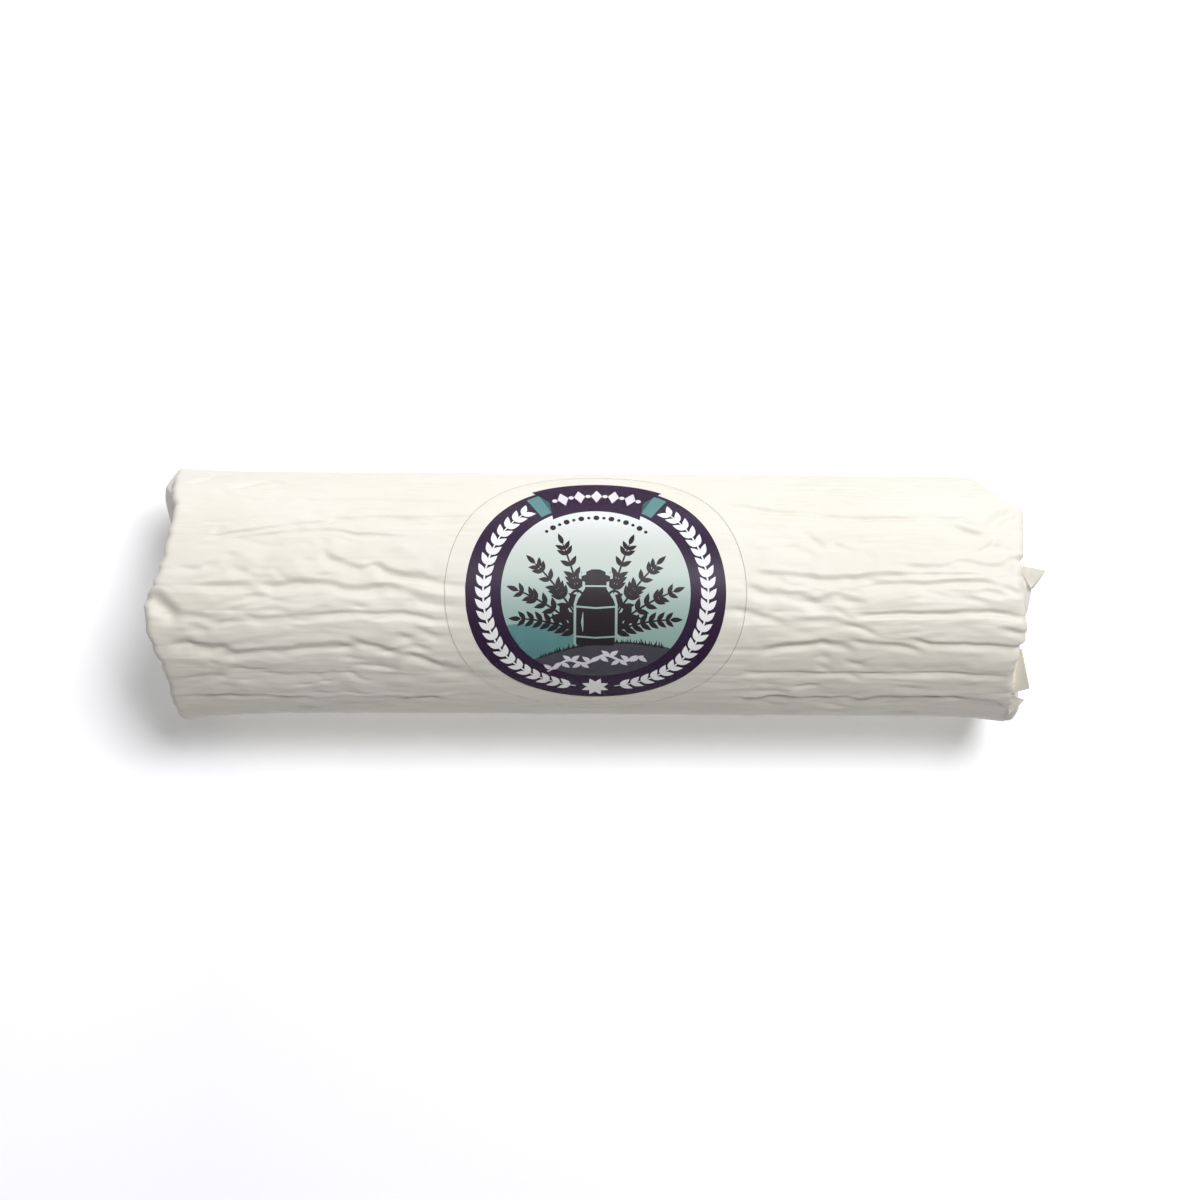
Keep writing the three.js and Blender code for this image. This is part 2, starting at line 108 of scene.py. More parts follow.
# The creases that show, as fall, its width, rise, its width, and then the x and arc of each point
# of the path by turns. The paper falls into a crease from its upper side, and rises again on its
# lower side. The path follows the middle of the falling side, from left to right.
FINE_CREASES = [
    # left end, over the top
    (0.42, 0.6, 0.15, 0.7, -106.5, 34.5, -100.5, 37.5, -97, 39.2, -93, 39.6, -90, 38, -86.5, 36.5),
    (0.45, 0.7, 0.15, 0.8, -119, 37.5, -114.5, 40, -111.5, 42.5, -109, 45),
    (0.32, 0.5, 0.12, 0.5, -86, 29.5, -70, 29.5, -40, 29.5),
    (0.34, 0.5, 0.24, 0.5, -112, 21, -105.5, 21, -100, 21.8, -96, 23),
    (0.46, 0.5, 0.24, 0.6, -111.5, 15.5, -105.5, 16.7, -98, 18, -90, 19.4, -84, 20.2, -77, 21, -74, 22.2,
     -68, 22.5, -59, 23, -50, 22.7, -38, 23.5),
    (0.46, 0.6, 0.2, 0.8, -113.5, 13, -107, 14, -100, 16, -93, 16.9, -85.5, 17.8, -78, 18.4, -73, 18.2,
     -69, 17.2, -60, 16.7, -54, 16.6),
    (0.36, 0.6, 0.15, 0.7, -109.5, 17.5, -105.5, 19.8),
    (0.85, 0.9, 0.8, 1.7, -77.5, 13, -75, 10.5, -72, 8.8, -66.5, 7.3, -63.5, 8.5, -61.5, 8, -59, 6.3,
     -54, 5.3, -50, 4.8, -44, 3, -38, 2.6, -30, 1),
    (0.2, 0.8, 0.1, 1, -84, 15, -78, 13),
    (0.35, 0.8, 0.2, 1, -111, 7.5, -106.5, 9.2),
    (0.35, 0.7, 0.2, 0.8, -105.5, 11.2, -100, 10.2),
    (0.55, 1, 0.2, 1.2, -104.5, 7.5, -100, 6.5, -96, 4.6, -89, 3.9),
    (0.6, 0.9, 0.35, 1.2, -113, 1.8, -104, 2.2, -96, 2.4),
    (1.1, 1.2, 0.45, 1.4, -95, 1.5, -90, 2.2, -84.5, 2.8, -79, 3, -74, 2.5, -69, 1.6, -61, 1.9, -52, 2),
    # left end, towards the hidden side
    (2.4, 2.3, 0.5, 1.8, -126, 1.6, -121.7, -2.6, -118.5, -6.2, -116.4, -10.5),
    (0.85, 1.1, 0.25, 1.2, -119, -4.2, -115.6, -6.2, -112, -6.8, -105.5, -7),
    (0.35, 0.8, 0.15, 1, -100, -1.2, -92, -0.9),
    (0.4, 0.8, 0.25, 1, -104.5, -5, -100, -4.1, -96.5, -3.2),
    (0.52, 0.7, 0.6, 1.2, -100, -5.2, -97, -7, -94, -7.4, -90, -7.1, -84, -6.5, -78, -6.2, -74, -5.7,
     -69, -5.3, -63, -5.7, -53, -5.6, -46, -7.4, -41, -8.4),
    (0.3, 0.8, 0.2, 1, -110, -9.1, -104, -8.2, -99, -7.2),
    (0.8, 1.1, 0.5, 1.3, -116, -9.8, -108, -10.4),
    (1.4, 1.4, 1, 2, -121.5, -15.8, -117, -14.6, -115, -13.8, -112.5, -15.8, -108, -16, -101, -16.7),
    (1.5, 1.4, 0.4, 1.1, -106.5, -19, -98, -17.6, -90, -16.7, -80, -15.8, -73, -15.2, -66.5, -16.4),
    (1.25, 1.2, 0.4, 1, -71, -12.6, -68, -13.6, -64, -15, -59, -16.5, -54, -17.6),
    (1.2, 1.2, 0.5, 1.2, -56.5, -18, -50, -18.8, -44, -21.3, -38, -23.6, -29, -27),
    (0.45, 1.5, 0.4, 0.9, -71, -19.8, -64, -21, -55, -22.6),
    (0.16, 0.6, 0.34, 0.7, -73, -21.6, -64, -22.2, -55, -22.9),
    (0.24, 0.6, 0.36, 1.7, -104, -25.2, -95, -25.4, -83, -25.1, -75, -25, -71, -24.6, -63, -25, -48, -25.6),
    (0.5, 0.9, 0.3, 1, -110.5, -28, -106, -26, -103, -23.6, -99, -24.9),
    (1, 1.2, 0.2, 1, -119, -28.2, -114, -26.2, -110, -26, -105.5, -23.8),
    (0.35, 0.7, 0.2, 0.8, -110, -20.2, -106.5, -22),
    (0.32, 0.8, 0.12, 1, -106.5, -22.4, -101, -22.6, -98, -24.2, -93, -23.4),
    (0.24, 0.6, 0.36, 0.9, -73.5, -24.3, -69.5, -24.5, -67, -27, -61, -27.6),
    (0.75, 0.9, 0.18, 1, -122, -35.4, -113, -35.2, -108, -34.8, -103, -35.2, -98, -34.9, -90, -35.4,
     -82, -35.4),
    (0.65, 0.9, 0.15, 1, -70, -36.4, -63, -35.5, -59, -35.2, -53, -35.8, -47, -35, -42, -36),
    (0.5, 1.4, 0.3, 1.4, -90, -39.8, -81, -42, -78, -39.8, -73, -39.3, -61, -38.6),
    (0.4, 0.8, 0.2, 0.9, -54.5, -1.2, -50.5, -3.8),
    (0.6, 1, 0.5, 1.2, -53, -8.6, -46, -11.8, -41, -14),
    (0.5, 0.9, 0.4, 1, -44.5, -2.2, -40.5, -6.8, -36.5, -8),
    (0.45, 1.4, 0.65, 1.4, -55, 1.6, -49, -1.2, -42, -2.6, -36, -3.4),
    (0.45, 0.8, 0.4, 0.9, -57, -10.6, -51, -14),
    (0.4, 0.8, 0.3, 0.9, -53.5, -14.2, -46, -16.8),
    # right end, over the top
    (0.36, 0.6, 0.12, 0.7, 37, 37.6, 42, 37, 48, 36, 56, 34.5, 61, 32.8),
    (0.46, 0.6, 0.16, 0.7, 49, 39.8, 52.5, 38.5, 57, 38.1, 61, 38.1, 64, 38.5, 71, 39, 80, 38, 86, 37,
     92.5, 36.2, 97.5, 35.7, 103, 35, 109, 34.2),
    (0.48, 0.7, 0.16, 0.8, 49, 42.4, 56, 42.5, 62, 41.3, 68, 40.8, 74, 40.5, 81, 39.8, 86, 40.3, 90, 41.3,
     94, 42.5, 100, 41.8, 105, 42, 109, 40),
    (0.36, 0.6, 0.12, 0.7, 60, 35.3, 66, 34.8, 71, 34.3, 78.5, 34.3),
    (0.36, 0.5, 0.14, 0.5, 46, 29.9, 57, 29.9, 63, 29.5, 66, 30, 68.5, 30, 75, 29.5),
    (0.36, 0.5, 0.14, 0.5, 72, 30.8, 80, 30.9, 84, 31, 89, 30.8, 93, 30, 102, 30.3),
    (0.46, 0.5, 0.2, 0.5, 33, 29.2, 40, 28.3, 46, 26.8, 50, 25.9, 56, 25.5, 61, 25, 66, 24.3, 71, 24,
     75.5, 23.8, 78.5, 24.1, 84, 23.9, 91, 24.1, 100, 24, 106, 24.6),
    (0.2, 0.5, 0.1, 0.5, 39, 26.7, 50, 25.4),
    (0.2, 0.5, 0.1, 0.5, 85, 21.5, 97, 21.5),
    (1, 0.9, 0.3, 0.9, 97, 22, 100.5, 20.6, 104, 19.3, 109.5, 17.8),
    (0.95, 0.7, 0.6, 0.8, 103.5, 12.6, 107.5, 14.3, 109.5, 16, 111, 18),
    (1.4, 1.3, 0.4, 1, 107, 19, 110, 23.5, 113, 25.8, 119, 27.8),
    (0.34, 0.5, 0.3, 0.5, 99, 23.2, 108, 21),
    (0.24, 0.5, 0.1, 0.6, 109, 18.6, 117, 18),
    (0.52, 0.9, 0.18, 1, 57, 19.6, 60, 16.5, 65, 12.9),
    (0.6, 0.8, 0.2, 1, 63.5, 15.7, 68, 14, 72, 12.9),
    (0.42, 1.1, 0.14, 1.1, 51, 15.2, 57.5, 13.3, 62, 11.2),
    (0.35, 1, 0.1, 1.2, 46, 9.6, 52, 8.8, 60, 8.5),
    (0.56, 1, 0.16, 1.2, 85, 9, 95, 9, 99.5, 10, 103.5, 10.3, 108.5, 9, 118, 9),
    (0.2, 0.5, 0.1, 0.6, 66, 17.2, 76, 17.8, 81, 18.3, 90, 18.5),
    (0.2, 0.5, 0.1, 0.6, 70, 15.5, 78.5, 15.8, 89, 15.5, 96, 14.3),
    (1.2, 0.9, 0.5, 0.9, 111.5, 10.2, 116, 11.6, 124, 11.8),
    (0.75, 1, 0.25, 1.2, 42, 6.4, 51, 6.2, 60, 5.4, 64, 5.1, 71, 5.5, 79, 6.1, 86, 6.6),
    (0.4, 0.5, 0.25, 0.6, 80, 6.4, 90, 6.4, 100, 6.5, 108, 6.5),
    (0.9, 0.8, 0.5, 0.9, 74, 4.2, 85, 4, 90, 3.8, 95, 4.1, 100, 4.6, 106, 4.6, 112, 3.2),
    (0.35, 0.7, 0.2, 0.8, 46, 5, 51, 4.4, 53.5, 3.5, 61, 3.3),
    (0.6, 0.8, 0.55, 1, 105, 2.7, 109.5, 1.9, 114, 1),
    (0.45, 0.7, 0.4, 0.8, 110.5, 4.3, 119, 0.4),
    # right end, towards the hidden side
    (0.65, 1, 0.42, 1.6, 41, 3.6, 45, 1.3, 50, 1, 53.5, 1, 56, 0.5, 59, -1, 61, -1.5, 63, 0, 66, 0.5,
     70, -0.8, 75, -2),
    (0.74, 0.7, 0.76, 0.8, 71, -5, 78.5, -4.8, 86, -4.5, 94, -4.6, 101, -4, 108.5, -3.9, 114, -4.3,
     118, -6),
    (0.5, 0.8, 0.4, 1.2, 34, -2.6, 40.5, -4.1, 46, -5.7, 49.5, -6.3, 51.5, -7.7, 52.6, -10),
    (0.6, 0.9, 0.2, 1.2, 52, -6.1, 57, -6.9, 62, -6.5, 66, -6.8, 70, -7.8, 74, -8.8, 78, -10.3),
    (0.3, 0.9, 0.15, 1, 52.5, -9.5, 58, -10, 63, -8.9),
    (0.9, 0.9, 0.4, 1, 110, -8.2, 116, -9.5, 125, -12.5),
    (1.5, 1.3, 0.4, 1, 43, -15.6, 50, -14.5, 55, -13.8, 60, -13.3, 64, -13.3, 67.5, -14, 73, -15.6),
    (0.34, 0.7, 0.34, 0.8, 33, -15, 40, -15.3, 47, -15.4),
    (1, 0.9, 0.42, 1, 69, -12.2, 76, -13.3, 81, -13.8, 85, -14.3, 92, -15.8),
    (0.82, 0.8, 0.6, 1.2, 85, -11.4, 89, -12.3, 92.5, -13.4, 98, -13.5, 106, -13.5, 111, -14, 122, -15.4),
    (0.45, 1, 0.4, 1, 61, -16.8, 66, -19),
    (0.4, 0.8, 0.4, 0.9, 68, -18, 71, -19.4, 75, -20.6),
    (0.35, 0.8, 0.35, 0.9, 61, -20.2, 66, -22.4),
    (0.5, 1.8, 0.1, 1.6, 69, -18.4, 73, -19.3, 79, -20.5, 91, -21, 106, -21),
    (0.42, 0.6, 0.5, 1.1, 39, -23.5, 60, -23.4, 71, -23.5, 79, -23.4, 91, -23.3, 106, -23.6, 116, -24.4),
    (0.55, 0.7, 0.55, 0.9, 69, -23.7, 71.5, -24.6, 74.5, -25.8),
    (0.42, 0.9, 0.1, 1, 54.5, -29.5, 58, -28.3, 61, -28.2, 64, -29.3, 66.5, -30.5),
    (0.36, 1, 0.1, 1, 37, -30.6, 46, -30.4, 55, -30.9),
    (0.85, 0.9, 0.12, 1, 38, -33.2, 41, -34.8, 44, -35, 48.5, -33.5, 56, -33.8, 66, -33.9, 71, -34,
     74.5, -35.2, 77.5, -33.6, 85, -33, 91, -33, 100, -33.2, 106, -33.7, 111, -34.5, 114, -37, 117, -41),
    (0.36, 0.8, 0.2, 0.9, 45.5, -35.6, 49, -38.2, 55, -38),
    (0.5, 1.2, 0.2, 1.2, 80, -39, 84, -41.3, 91, -44.2, 101, -44.8),
]
CREASE_TAPER = 5.0  # length over which a crease fades in and out
FLANK_SPAN = 1.9  # from a crease's bottom to where the paper is level again, in its widths
UPPER_LEVEL = 2.4  # how far back a sheet that lies over the other starts to lift
LOWER_LEVEL = 4.5  # and how far on the one below it has levelled out
UPPER_GAIN = 1.6  # the creases over the top are this much deeper than their rows say
UPPER_RAMP = (10, 24)  # from no gain to all of it
TRACED_TO = 54.0  # arc to which the creases were traced from above
PATH_JITTER = 0.35  # how far a path strays, in its widths
UNEVENNESS = 0.3  # how much a crease's depth varies along it
CALM_RAMP = (6, 26)  # where the smoother upper side starts
CALM_END = 60
STRAY_CREASES = 760
STRAY_REACH = (121, 98)  # furthest x and arc where one starts
STRAY_LENGTH = (3, 13)
STRAY_DEPTH = (0.06, 0.26)
CRUMPLE, CRUMPLE_SIZE = 0.27, (11, 5.5)  # the coarse facets between the creases
FINE_CRUMPLE, FINE_SIZE = 0.11, (5.5, 2.4)
STREAK_DEPTH, STREAK_SIZE = 0.13, (28, 1.9)
SEAM_ARC = -88.0  # the paper's lap, low on the side away from the light
SEAM_STEP = 0.35
FLARE_FADE = 20  # the flares die out within this distance of the log's middle
RIM_FADE = 4  # and a rim's own folds within this distance of it
OFF_FLOOR = 7  # arc beside the resting strip over which the relief grows

# The folded ends
FACE_CRUMPLE = 0.35
FACE_FACETS = 0.3
RAY_DEPTH = 0.16
NAVEL_DEPTH, NAVEL_SIZE = 1.6, 0.13  # the dimple in the middle

# Loose corners of paper at the ends, as (name, three corners, bow): x, y, height over the axis
FLAPS = [
    ("ear_fold", [(117.6, 8.7, 26.4), (121, 8.3, 27.4), (121, 2.6, 25.9)], 0.1),
    ("ear_tip", [(121, 8.3, 27.4), (125.2, 7.5, 26.4), (121, 2.6, 25.9)], 0.15),
    ("ear_edge", [(121, 2.6, 25.9), (125.2, 7.5, 26.4), (122.1, 2.3, 23.4)], 0.05),
    ("ear_strip", [(119.2, 10.1, 24), (122.2, 3.1, 20.5), (117.8, 3, 28)], 0.1),
    ("ear_root", [(122.2, 3.1, 20.5), (120.6, -4.6, 22), (117.8, 3, 28)], 0.1),
    ("end_fold", [(118.7, -14.7, 25), (121.2, -25.8, 23.8), (113, -14.2, 20)], 0),
    ("end_lap", [(121.2, -25.8, 23.8), (116.4, -27.4, 19), (113, -14.2, 20)], 0),
    ("curl", [(116.3, -27.6, 16), (121, -29.2, 15.4), (117, -33.6, 12.2)], 0.2),
    ("left_fold", [(-121.2, 35.2, 5), (-124.7, 29.9, 8), (-118.4, 24, 24.3)], 0.1),
    ("left_side", [(-124.7, 29.9, 8), (-124.9, 26, 8), (-118.4, 24, 24.3)], 0.1),
    ("left_under", [(-124.9, 26, 8), (-121.9, 18.3, 16), (-118.4, 24, 24.3)], 0.1),
]
FLAP_THICKNESS = 0.35
FLAP_STEPS = 9

# The label
LABEL_X = -1.2
LABEL_ARC = 0.2
FILM_RADIUS = 42.0
CALM_FROM, CALM_TO = 33.0, 39.5  # where the creases fade out under the label
CALM_RELIEF = 0.08
PRINT_HEIGHT = 0.1
FILM_HEIGHT = 0.3
UNDER_PRINT = 0.04  # the most that the paper stands up there
FILM_GAP = 0.1  # between the bare film and the paper
FREE_HEIGHT = 4.0  # what the paper may stand up more where no film holds it
SHEET_THICKNESS = 0.05
GRID_STEP, GRID_HALF = 2.0, 38.0  # points that help the print to follow the log
LONGEST_EDGE = 1.6  # of a printed outline
FILM_SECTORS, FILM_RINGS = 180, 16
EDGE_WIDTH, EDGE_HEIGHT, EDGE_SIDES = 0.22, 0.12, 8  # of the line where the film was cut
PRINT_RADIUS = 36.3
DISC_RADIUS = 26.4
RING_MIDDLE = (PRINT_RADIUS + DISC_RADIUS) / 2
BANNER = (25.0, 37.6, 61)  # inner and outer radius, and the angle where its right end is
NEAR_HILL = (7, -66, 52)  # middle and radius of the circle whose top is the hill
FAR_HILL = (-16, -55, 46.5)
CHURN_FOOT = -15.2
SKY_FROM, SKY_TO = -10.3, 24.4  # where the disc's colour is deepest and palest

# The view, straight down from above the log's axis, and the studio
VIEW_DISTANCE = 900
VIEW_FOCAL_PIXELS = 3109
FRAME_PIXELS = 1200
VIEW_SHIFT_Y = -1.75
VIEW_ROLL = math.radians(0.45)
SENSOR_WIDTH = 36
LIGHT_DISTANCE, LIGHT_SIZE = 1.5, 0.5  # metres
FLOOR_SIZE, FLOOR_GLOW = 16, 0.29  # metres, and the light that the floor gives off
ROOM_LIGHT = 0.03
PALE = 0.9  # the grey of the floor, and of the room behind it


# Small helpers

class Stream:
    """A repeatable stream of numbers, the same as the solid's."""

    def __init__(self, seed):
        self.state = seed

    def between(self, low, high):
        self.state = (self.state * 1664525 + 1013904223) % 4294967296
        return low + (high - low) * self.state / 4294967296


def lerp(a, b, share):
    return a + (b - a) * share


def smoothstep(value, low, high):
    share = np.clip((value - low) / (high - low), 0, 1)
    return share * share * (3 - 2 * share)


def wrap_arc(arc):
    return arc - CIRCUMFERENCE * np.round(arc / CIRCUMFERENCE)


def along(points, arc):
    """The value at each arc of a list of (arc, value) points, smoothly joined."""
    at = np.array([p[0] for p in points], float)
    value = np.array([p[1] for p in points], float)
    upper = np.clip(np.searchsorted(at, arc), 1, len(at) - 1)
    share = smoothstep(arc, at[upper - 1], at[upper])
    return lerp(value[upper - 1], value[upper], share)


def bump(arc, centre, width):
    distance = np.abs(wrap_arc(arc - centre)) / width
    return np.where(distance < 1, np.cos(np.minimum(distance, 1) * math.pi / 2) ** 2, 0)


def log_radius(arc):
    """The radius of the log without its creases, a little flattened along one side."""
    centre, width, depth = SIDE_DENT
    return RADIUS - depth * bump(arc, centre, width)


def value_noise(u, v, seed):
    """Smooth noise from -1 to 1, with one random value at each whole number."""
    table = np.random.default_rng(seed).random((128, 128))
    iu, iv = np.floor(u).astype(int), np.floor(v).astype(int)
    su, sv = u - iu, v - iv
    su, sv = su * su * (3 - 2 * su), sv * sv * (3 - 2 * sv)

    def corner(du, dv):
        return table[(iu + du) % 128, (iv + dv) % 128]

    low = lerp(corner(0, 0), corner(1, 0), su)
    high = lerp(corner(0, 1), corner(1, 1), su)
    return 2 * lerp(low, high, sv) - 1


def smooth_path(points, step=2.0):
    """A curve through a few points, as points about a step apart."""
    p = np.array([points[0]] + list(points) + [points[-1]], float)
    legs = []
    for before, start, end, after in zip(p, p[1:], p[2:], p[3:]):
        count = max(2, int(np.linalg.norm(end - start) / step))
        t = (np.arange(count) / count)[:, None]
        a = 2 * start + (end - before) * t
        b = (2 * before - 5 * start + 4 * end - after) * t ** 2
        c = (3 * start - before - 3 * end + after) * t ** 3
        legs.append((a + b + c) / 2)
    return np.concatenate(legs + [p[-2:-1]])


def place(x, angle, radius):
    """Points of the log from the distance along it, the angle from the top and the radius."""
    z = np.maximum(AXIS_HEIGHT + radius * np.cos(angle), 0)
    return np.stack(np.broadcast_arrays(x, radius * np.sin(angle), z), -1)


def add_mesh(name, points, faces, materials, sharp_angle=None, face_material=None):
    """A smooth mesh object from points in millimetres, with hard edges above an angle."""
    mesh = bpy.data.meshes.new(name)
    mesh.from_pydata((np.asarray(points) * MM).tolist(), [], [list(f) for f in faces])
    for material in materials:
        mesh.materials.append(material)
    if face_material is not None:
        mesh.polygons.foreach_set("material_index", np.asarray(face_material, np.int32))
    mesh.polygons.foreach_set("use_smooth", [True] * len(mesh.polygons))
    mesh.validate()
    mesh.update()
    if sharp_angle:
        mesh.set_sharp_from_angle(angle=math.radians(sharp_angle))
    obj = bpy.data.objects.new(name, mesh)
    bpy.context.scene.collection.objects.link(obj)
    return obj


# The paper

def crease_rows():
    """Every plain crease round the log, in order of arc: left arc and depth, right arc and
    depth, waves, phase, stray. The numbers are drawn in the same order as for the solid."""
    stream = Stream(7)

    def row(left_arc, left_depth, right_arc, right_depth, stray=WANDER):
        waves = stream.between(*WAVES)
        phase = stream.between(0, 2 * math.pi)
        return left_arc, left_depth, right_arc, right_depth, waves, phase, stray

    def hidden(start, end):
        per_side = HIDDEN_CREASES // 2
        rows = []
        for i in range(per_side - 1):
            arc = lerp(start, end, (i + 1) / per_side)
            left = arc + stream.between(-HIDDEN_SPREAD, HIDDEN_SPREAD)
            right = arc + stream.between(-HIDDEN_SPREAD, HIDDEN_SPREAD)
            left_depth = stream.between(*HIDDEN_DEPTH)
            right_depth = stream.between(*HIDDEN_DEPTH)
            rows.append(row(left, left_depth, right, right_depth))
        return rows

    rows = [row(-FLAT_EDGE, 0, -FLAT_EDGE, 0, 0)]
    rows += hidden(-FLAT_EDGE, SHOWN_CREASES[0][0])
    rows += [row(*shown) for shown in SHOWN_CREASES]
    rows += hidden(SHOWN_CREASES[-1][0], FLAT_EDGE)
    rows += [row(FLAT_EDGE, 0, FLAT_EDGE, 0, 0)]
    return np.array(rows)


def strip_columns(rows):
    """For every column round the log: its strip of paper, its share of the way across the strip,
    and how far a pleat has risen there."""
    ahead = np.append(rows[1:, 0], rows[0, 0] + CIRCUMFERENCE)
    middle = (rows[:, 0] + ahead) / 2
    shown = (middle > SHOWN_FROM) & (middle < SHOWN_TO)
    counts = np.where(shown, SHOWN_COLUMNS, HIDDEN_COLUMNS)
    strip = np.repeat(np.arange(len(rows)), counts)
    across = np.concatenate([np.arange(count) / count for count in counts])
    fold = np.concatenate([np.linspace(0, 1, count) for count in counts])
    return strip, across, fold


def column_grid(shares):
    """For rows at shares of the way along the log: each column's arc, the depth of the nearest
    plain crease, the distance to it, and how far a pleat has risen there."""
    rows = crease_rows()
    strip, across, fold = strip_columns(rows)
    share = np.asarray(shares, float)[:, None]
    arcs = lerp(rows[:, 0], rows[:, 2], share)
    arcs = arcs + rows[:, 6] * np.sin(2 * math.pi * rows[:, 4] * share + rows[:, 5])
    depths = lerp(rows[:, 1], rows[:, 3], share)
    arcs = np.hstack([arcs, arcs[:, :1] + CIRCUMFERENCE])
    depths = np.hstack([depths, depths[:, :1]])
    low, high = arcs[:, strip], arcs[:, strip + 1]
    arc = lerp(low, high, across)
    near_low = across < 0.5
    depth = np.where(near_low, depths[:, strip], depths[:, strip + 1])
    distance = np.where(near_low, arc - low, high - arc)
    return arc, depth, distance, fold


def shown_share(arc):
    """1 on the part of the side that shows, fading to 0 round it."""
    around = wrap_arc(arc)
    start = smoothstep(around, SHOWN_FROM - 4, SHOWN_FROM + 4)
    return start * smoothstep(-around, -SHOWN_TO - 4, -SHOWN_TO + 4)


def rim_reach(side, arc, depth, distance):
    """How far an end reaches: its outline, pulled in where a crease folds over the rim."""
    around = wrap_arc(arc)
    outline = along(RIMS[side], around)
    share = lerp(1, RIM_SHARE[side], shown_share(arc))
    pinch = RIM_NOTCH * share * depth * np.exp(-distance / PINCH_WIDTH)
    uneven = RIM_UNEVENNESS * value_noise(around / 2.3 + 60, np.full_like(arc, 3.3), 17 + side)
    return outline - pinch + uneven


def label_distance(x, arc):
    return np.hypot(x - LABEL_X, wrap_arc(arc) - LABEL_ARC)


def openness(x, arc):
    """The share of the relief that is left, next to nothing under the label."""
    return lerp(CALM_RELIEF, 1, smoothstep(label_distance(x, arc), CALM_FROM, CALM_TO))


def label_cap(x, arc):
    """The most that the paper may stand up: next to nothing under the print, a little under the
    bare film, and freely beyond it."""
    distance = label_distance(x, arc)
    bare = smoothstep(distance, PRINT_RADIUS, PRINT_RADIUS + 2)
    free = smoothstep(distance, FILM_RADIUS - 1, FILM_RADIUS + 14)
    return lerp(UNDER_PRINT, FILM_HEIGHT - FILM_GAP, bare) + FREE_HEIGHT * free


def crease_profile(height, fall, fall_width, rise, rise_width):
    """The height across a crease, at places that lie some way above its bottom or, with a minus
    sign, below it. Where it falls more than it rises, the upper side lies over the lower one."""
    distance = np.abs(height)
    over = (fall - rise) / 2

    def flank(lift, level, drop, width):
        edge = lift * np.exp(-distance / level)
        return edge - drop * (1 - smoothstep(distance, 0, FLANK_SPAN * width))

    upper = flank(over, UPPER_LEVEL, fall, fall_width)
    lower = flank(-over, LOWER_LEVEL, rise, rise_width)
    return np.where(height > 0, upper, lower)


def nearest_on_path(x, arc, path):
    """For each place its height above a path, or below it with a minus sign, how far along the
    path its nearest point is, and the length of the path."""
    best = np.full(x.shape, 1e9)
    side, run = np.zeros_like(best), np.zeros_like(best)
    walked = 0.0
    for start, end in zip(path[:-1], path[1:]):
        leg = end - start
        length = np.linalg.norm(leg)
        t = np.clip(((x - start[0]) * leg[0] + (arc - start[1]) * leg[1]) / length ** 2, 0, 1)
        dx, da = x - start[0] - t * leg[0], arc - start[1] - t * leg[1]
        distance = np.hypot(dx, da)
        closer = distance < best
        best[closer] = distance[closer]
        side[closer] = (leg[0] * da - leg[1] * dx)[closer]
        run[closer] = walked + t[closer] * length
        walked += length
    return np.where(side > 0, best, -best), run, walked


def crease_field(x, arc, creases):
    """Height that a list of creases gives at places on the side."""
    total = np.zeros_like(x)
    for index, (fall, fall_width, rise, rise_width, *points) in enumerate(creases):
        path = smooth_path(np.reshape(points, (-1, 2)))
        jitter = value_noise(path[:, 0] / 3.1, np.full(len(path), 5.3 * index), 43)
        path[:, 1] += PATH_JITTER * fall_width * jitter
        reach = 4 * max(fall_width, rise_width) + 16 * abs(fall - rise)
        near = (x > path[:, 0].min() - reach) & (x < path[:, 0].max() + reach)
        near &= (arc > path[:, 1].min() - reach) & (arc < path[:, 1].max() + reach)
        height, run, length = nearest_on_path(x[near], arc[near], path)
        taper = min(CREASE_TAPER, length / 2.5)
        fade = smoothstep(run, -0.1 * taper, taper) * smoothstep(length - run, -0.1 * taper, taper)
        fade = fade * smoothstep(reach - np.abs(height), 0, 0.5 * reach)
        uneven = 1 + UNEVENNESS * value_noise(run / 6.5, np.full_like(run, 3.7 * index), 41)
        height = height + FLANK_SPAN / 2 * fall_width
        total[near] += fade * uneven * crease_profile(height, fall, fall_width, rise, rise_width)
    return total


def upper_side(arc):
    """1 on the smoother upper side of the log, towards +Y."""
    return smoothstep(arc, *CALM_RAMP) * (arc < CALM_END)


def stray_creases():
    """Short creases all over the paper. Most run along the log, fainter on its upper side."""
    stream = Stream(23)
    reach_x, reach_arc = STRAY_REACH
    rows = []
    for _ in range(STRAY_CREASES):
        x, arc = stream.between(-reach_x, reach_x), stream.between(-reach_arc, reach_arc)
        calm = upper_side(arc)
        length = stream.between(*STRAY_LENGTH) * lerp(1, 1.6, calm)
        lean = stream.between(-1, 1) * stream.between(0.05, 0.8) * lerp(1, 0.25, calm)
        bow = stream.between(-0.12, 0.12) * length
        fall = stream.between(*STRAY_DEPTH) * lerp(1, 0.85, calm)
        rise = fall * stream.between(0.4, 1.5)
        width = stream.between(0.45, 0.8)
        middle = (x + length / 2, arc + lean * length / 2 + bow)
        rows.append((fall, width, rise, 1.3 * width, x, arc, *middle, x + length, arc + lean * length))
    return rows


def facets(u, v, first, second):
    """Flat facets with sharp ridges and valleys: the difference of two folded noises."""
    ridges = np.abs(value_noise(u, v, first))
    valleys = np.abs(value_noise(u + 0.35 * v + 7.7, v - 0.3 * u + 3.1, second))
    return ridges - valleys


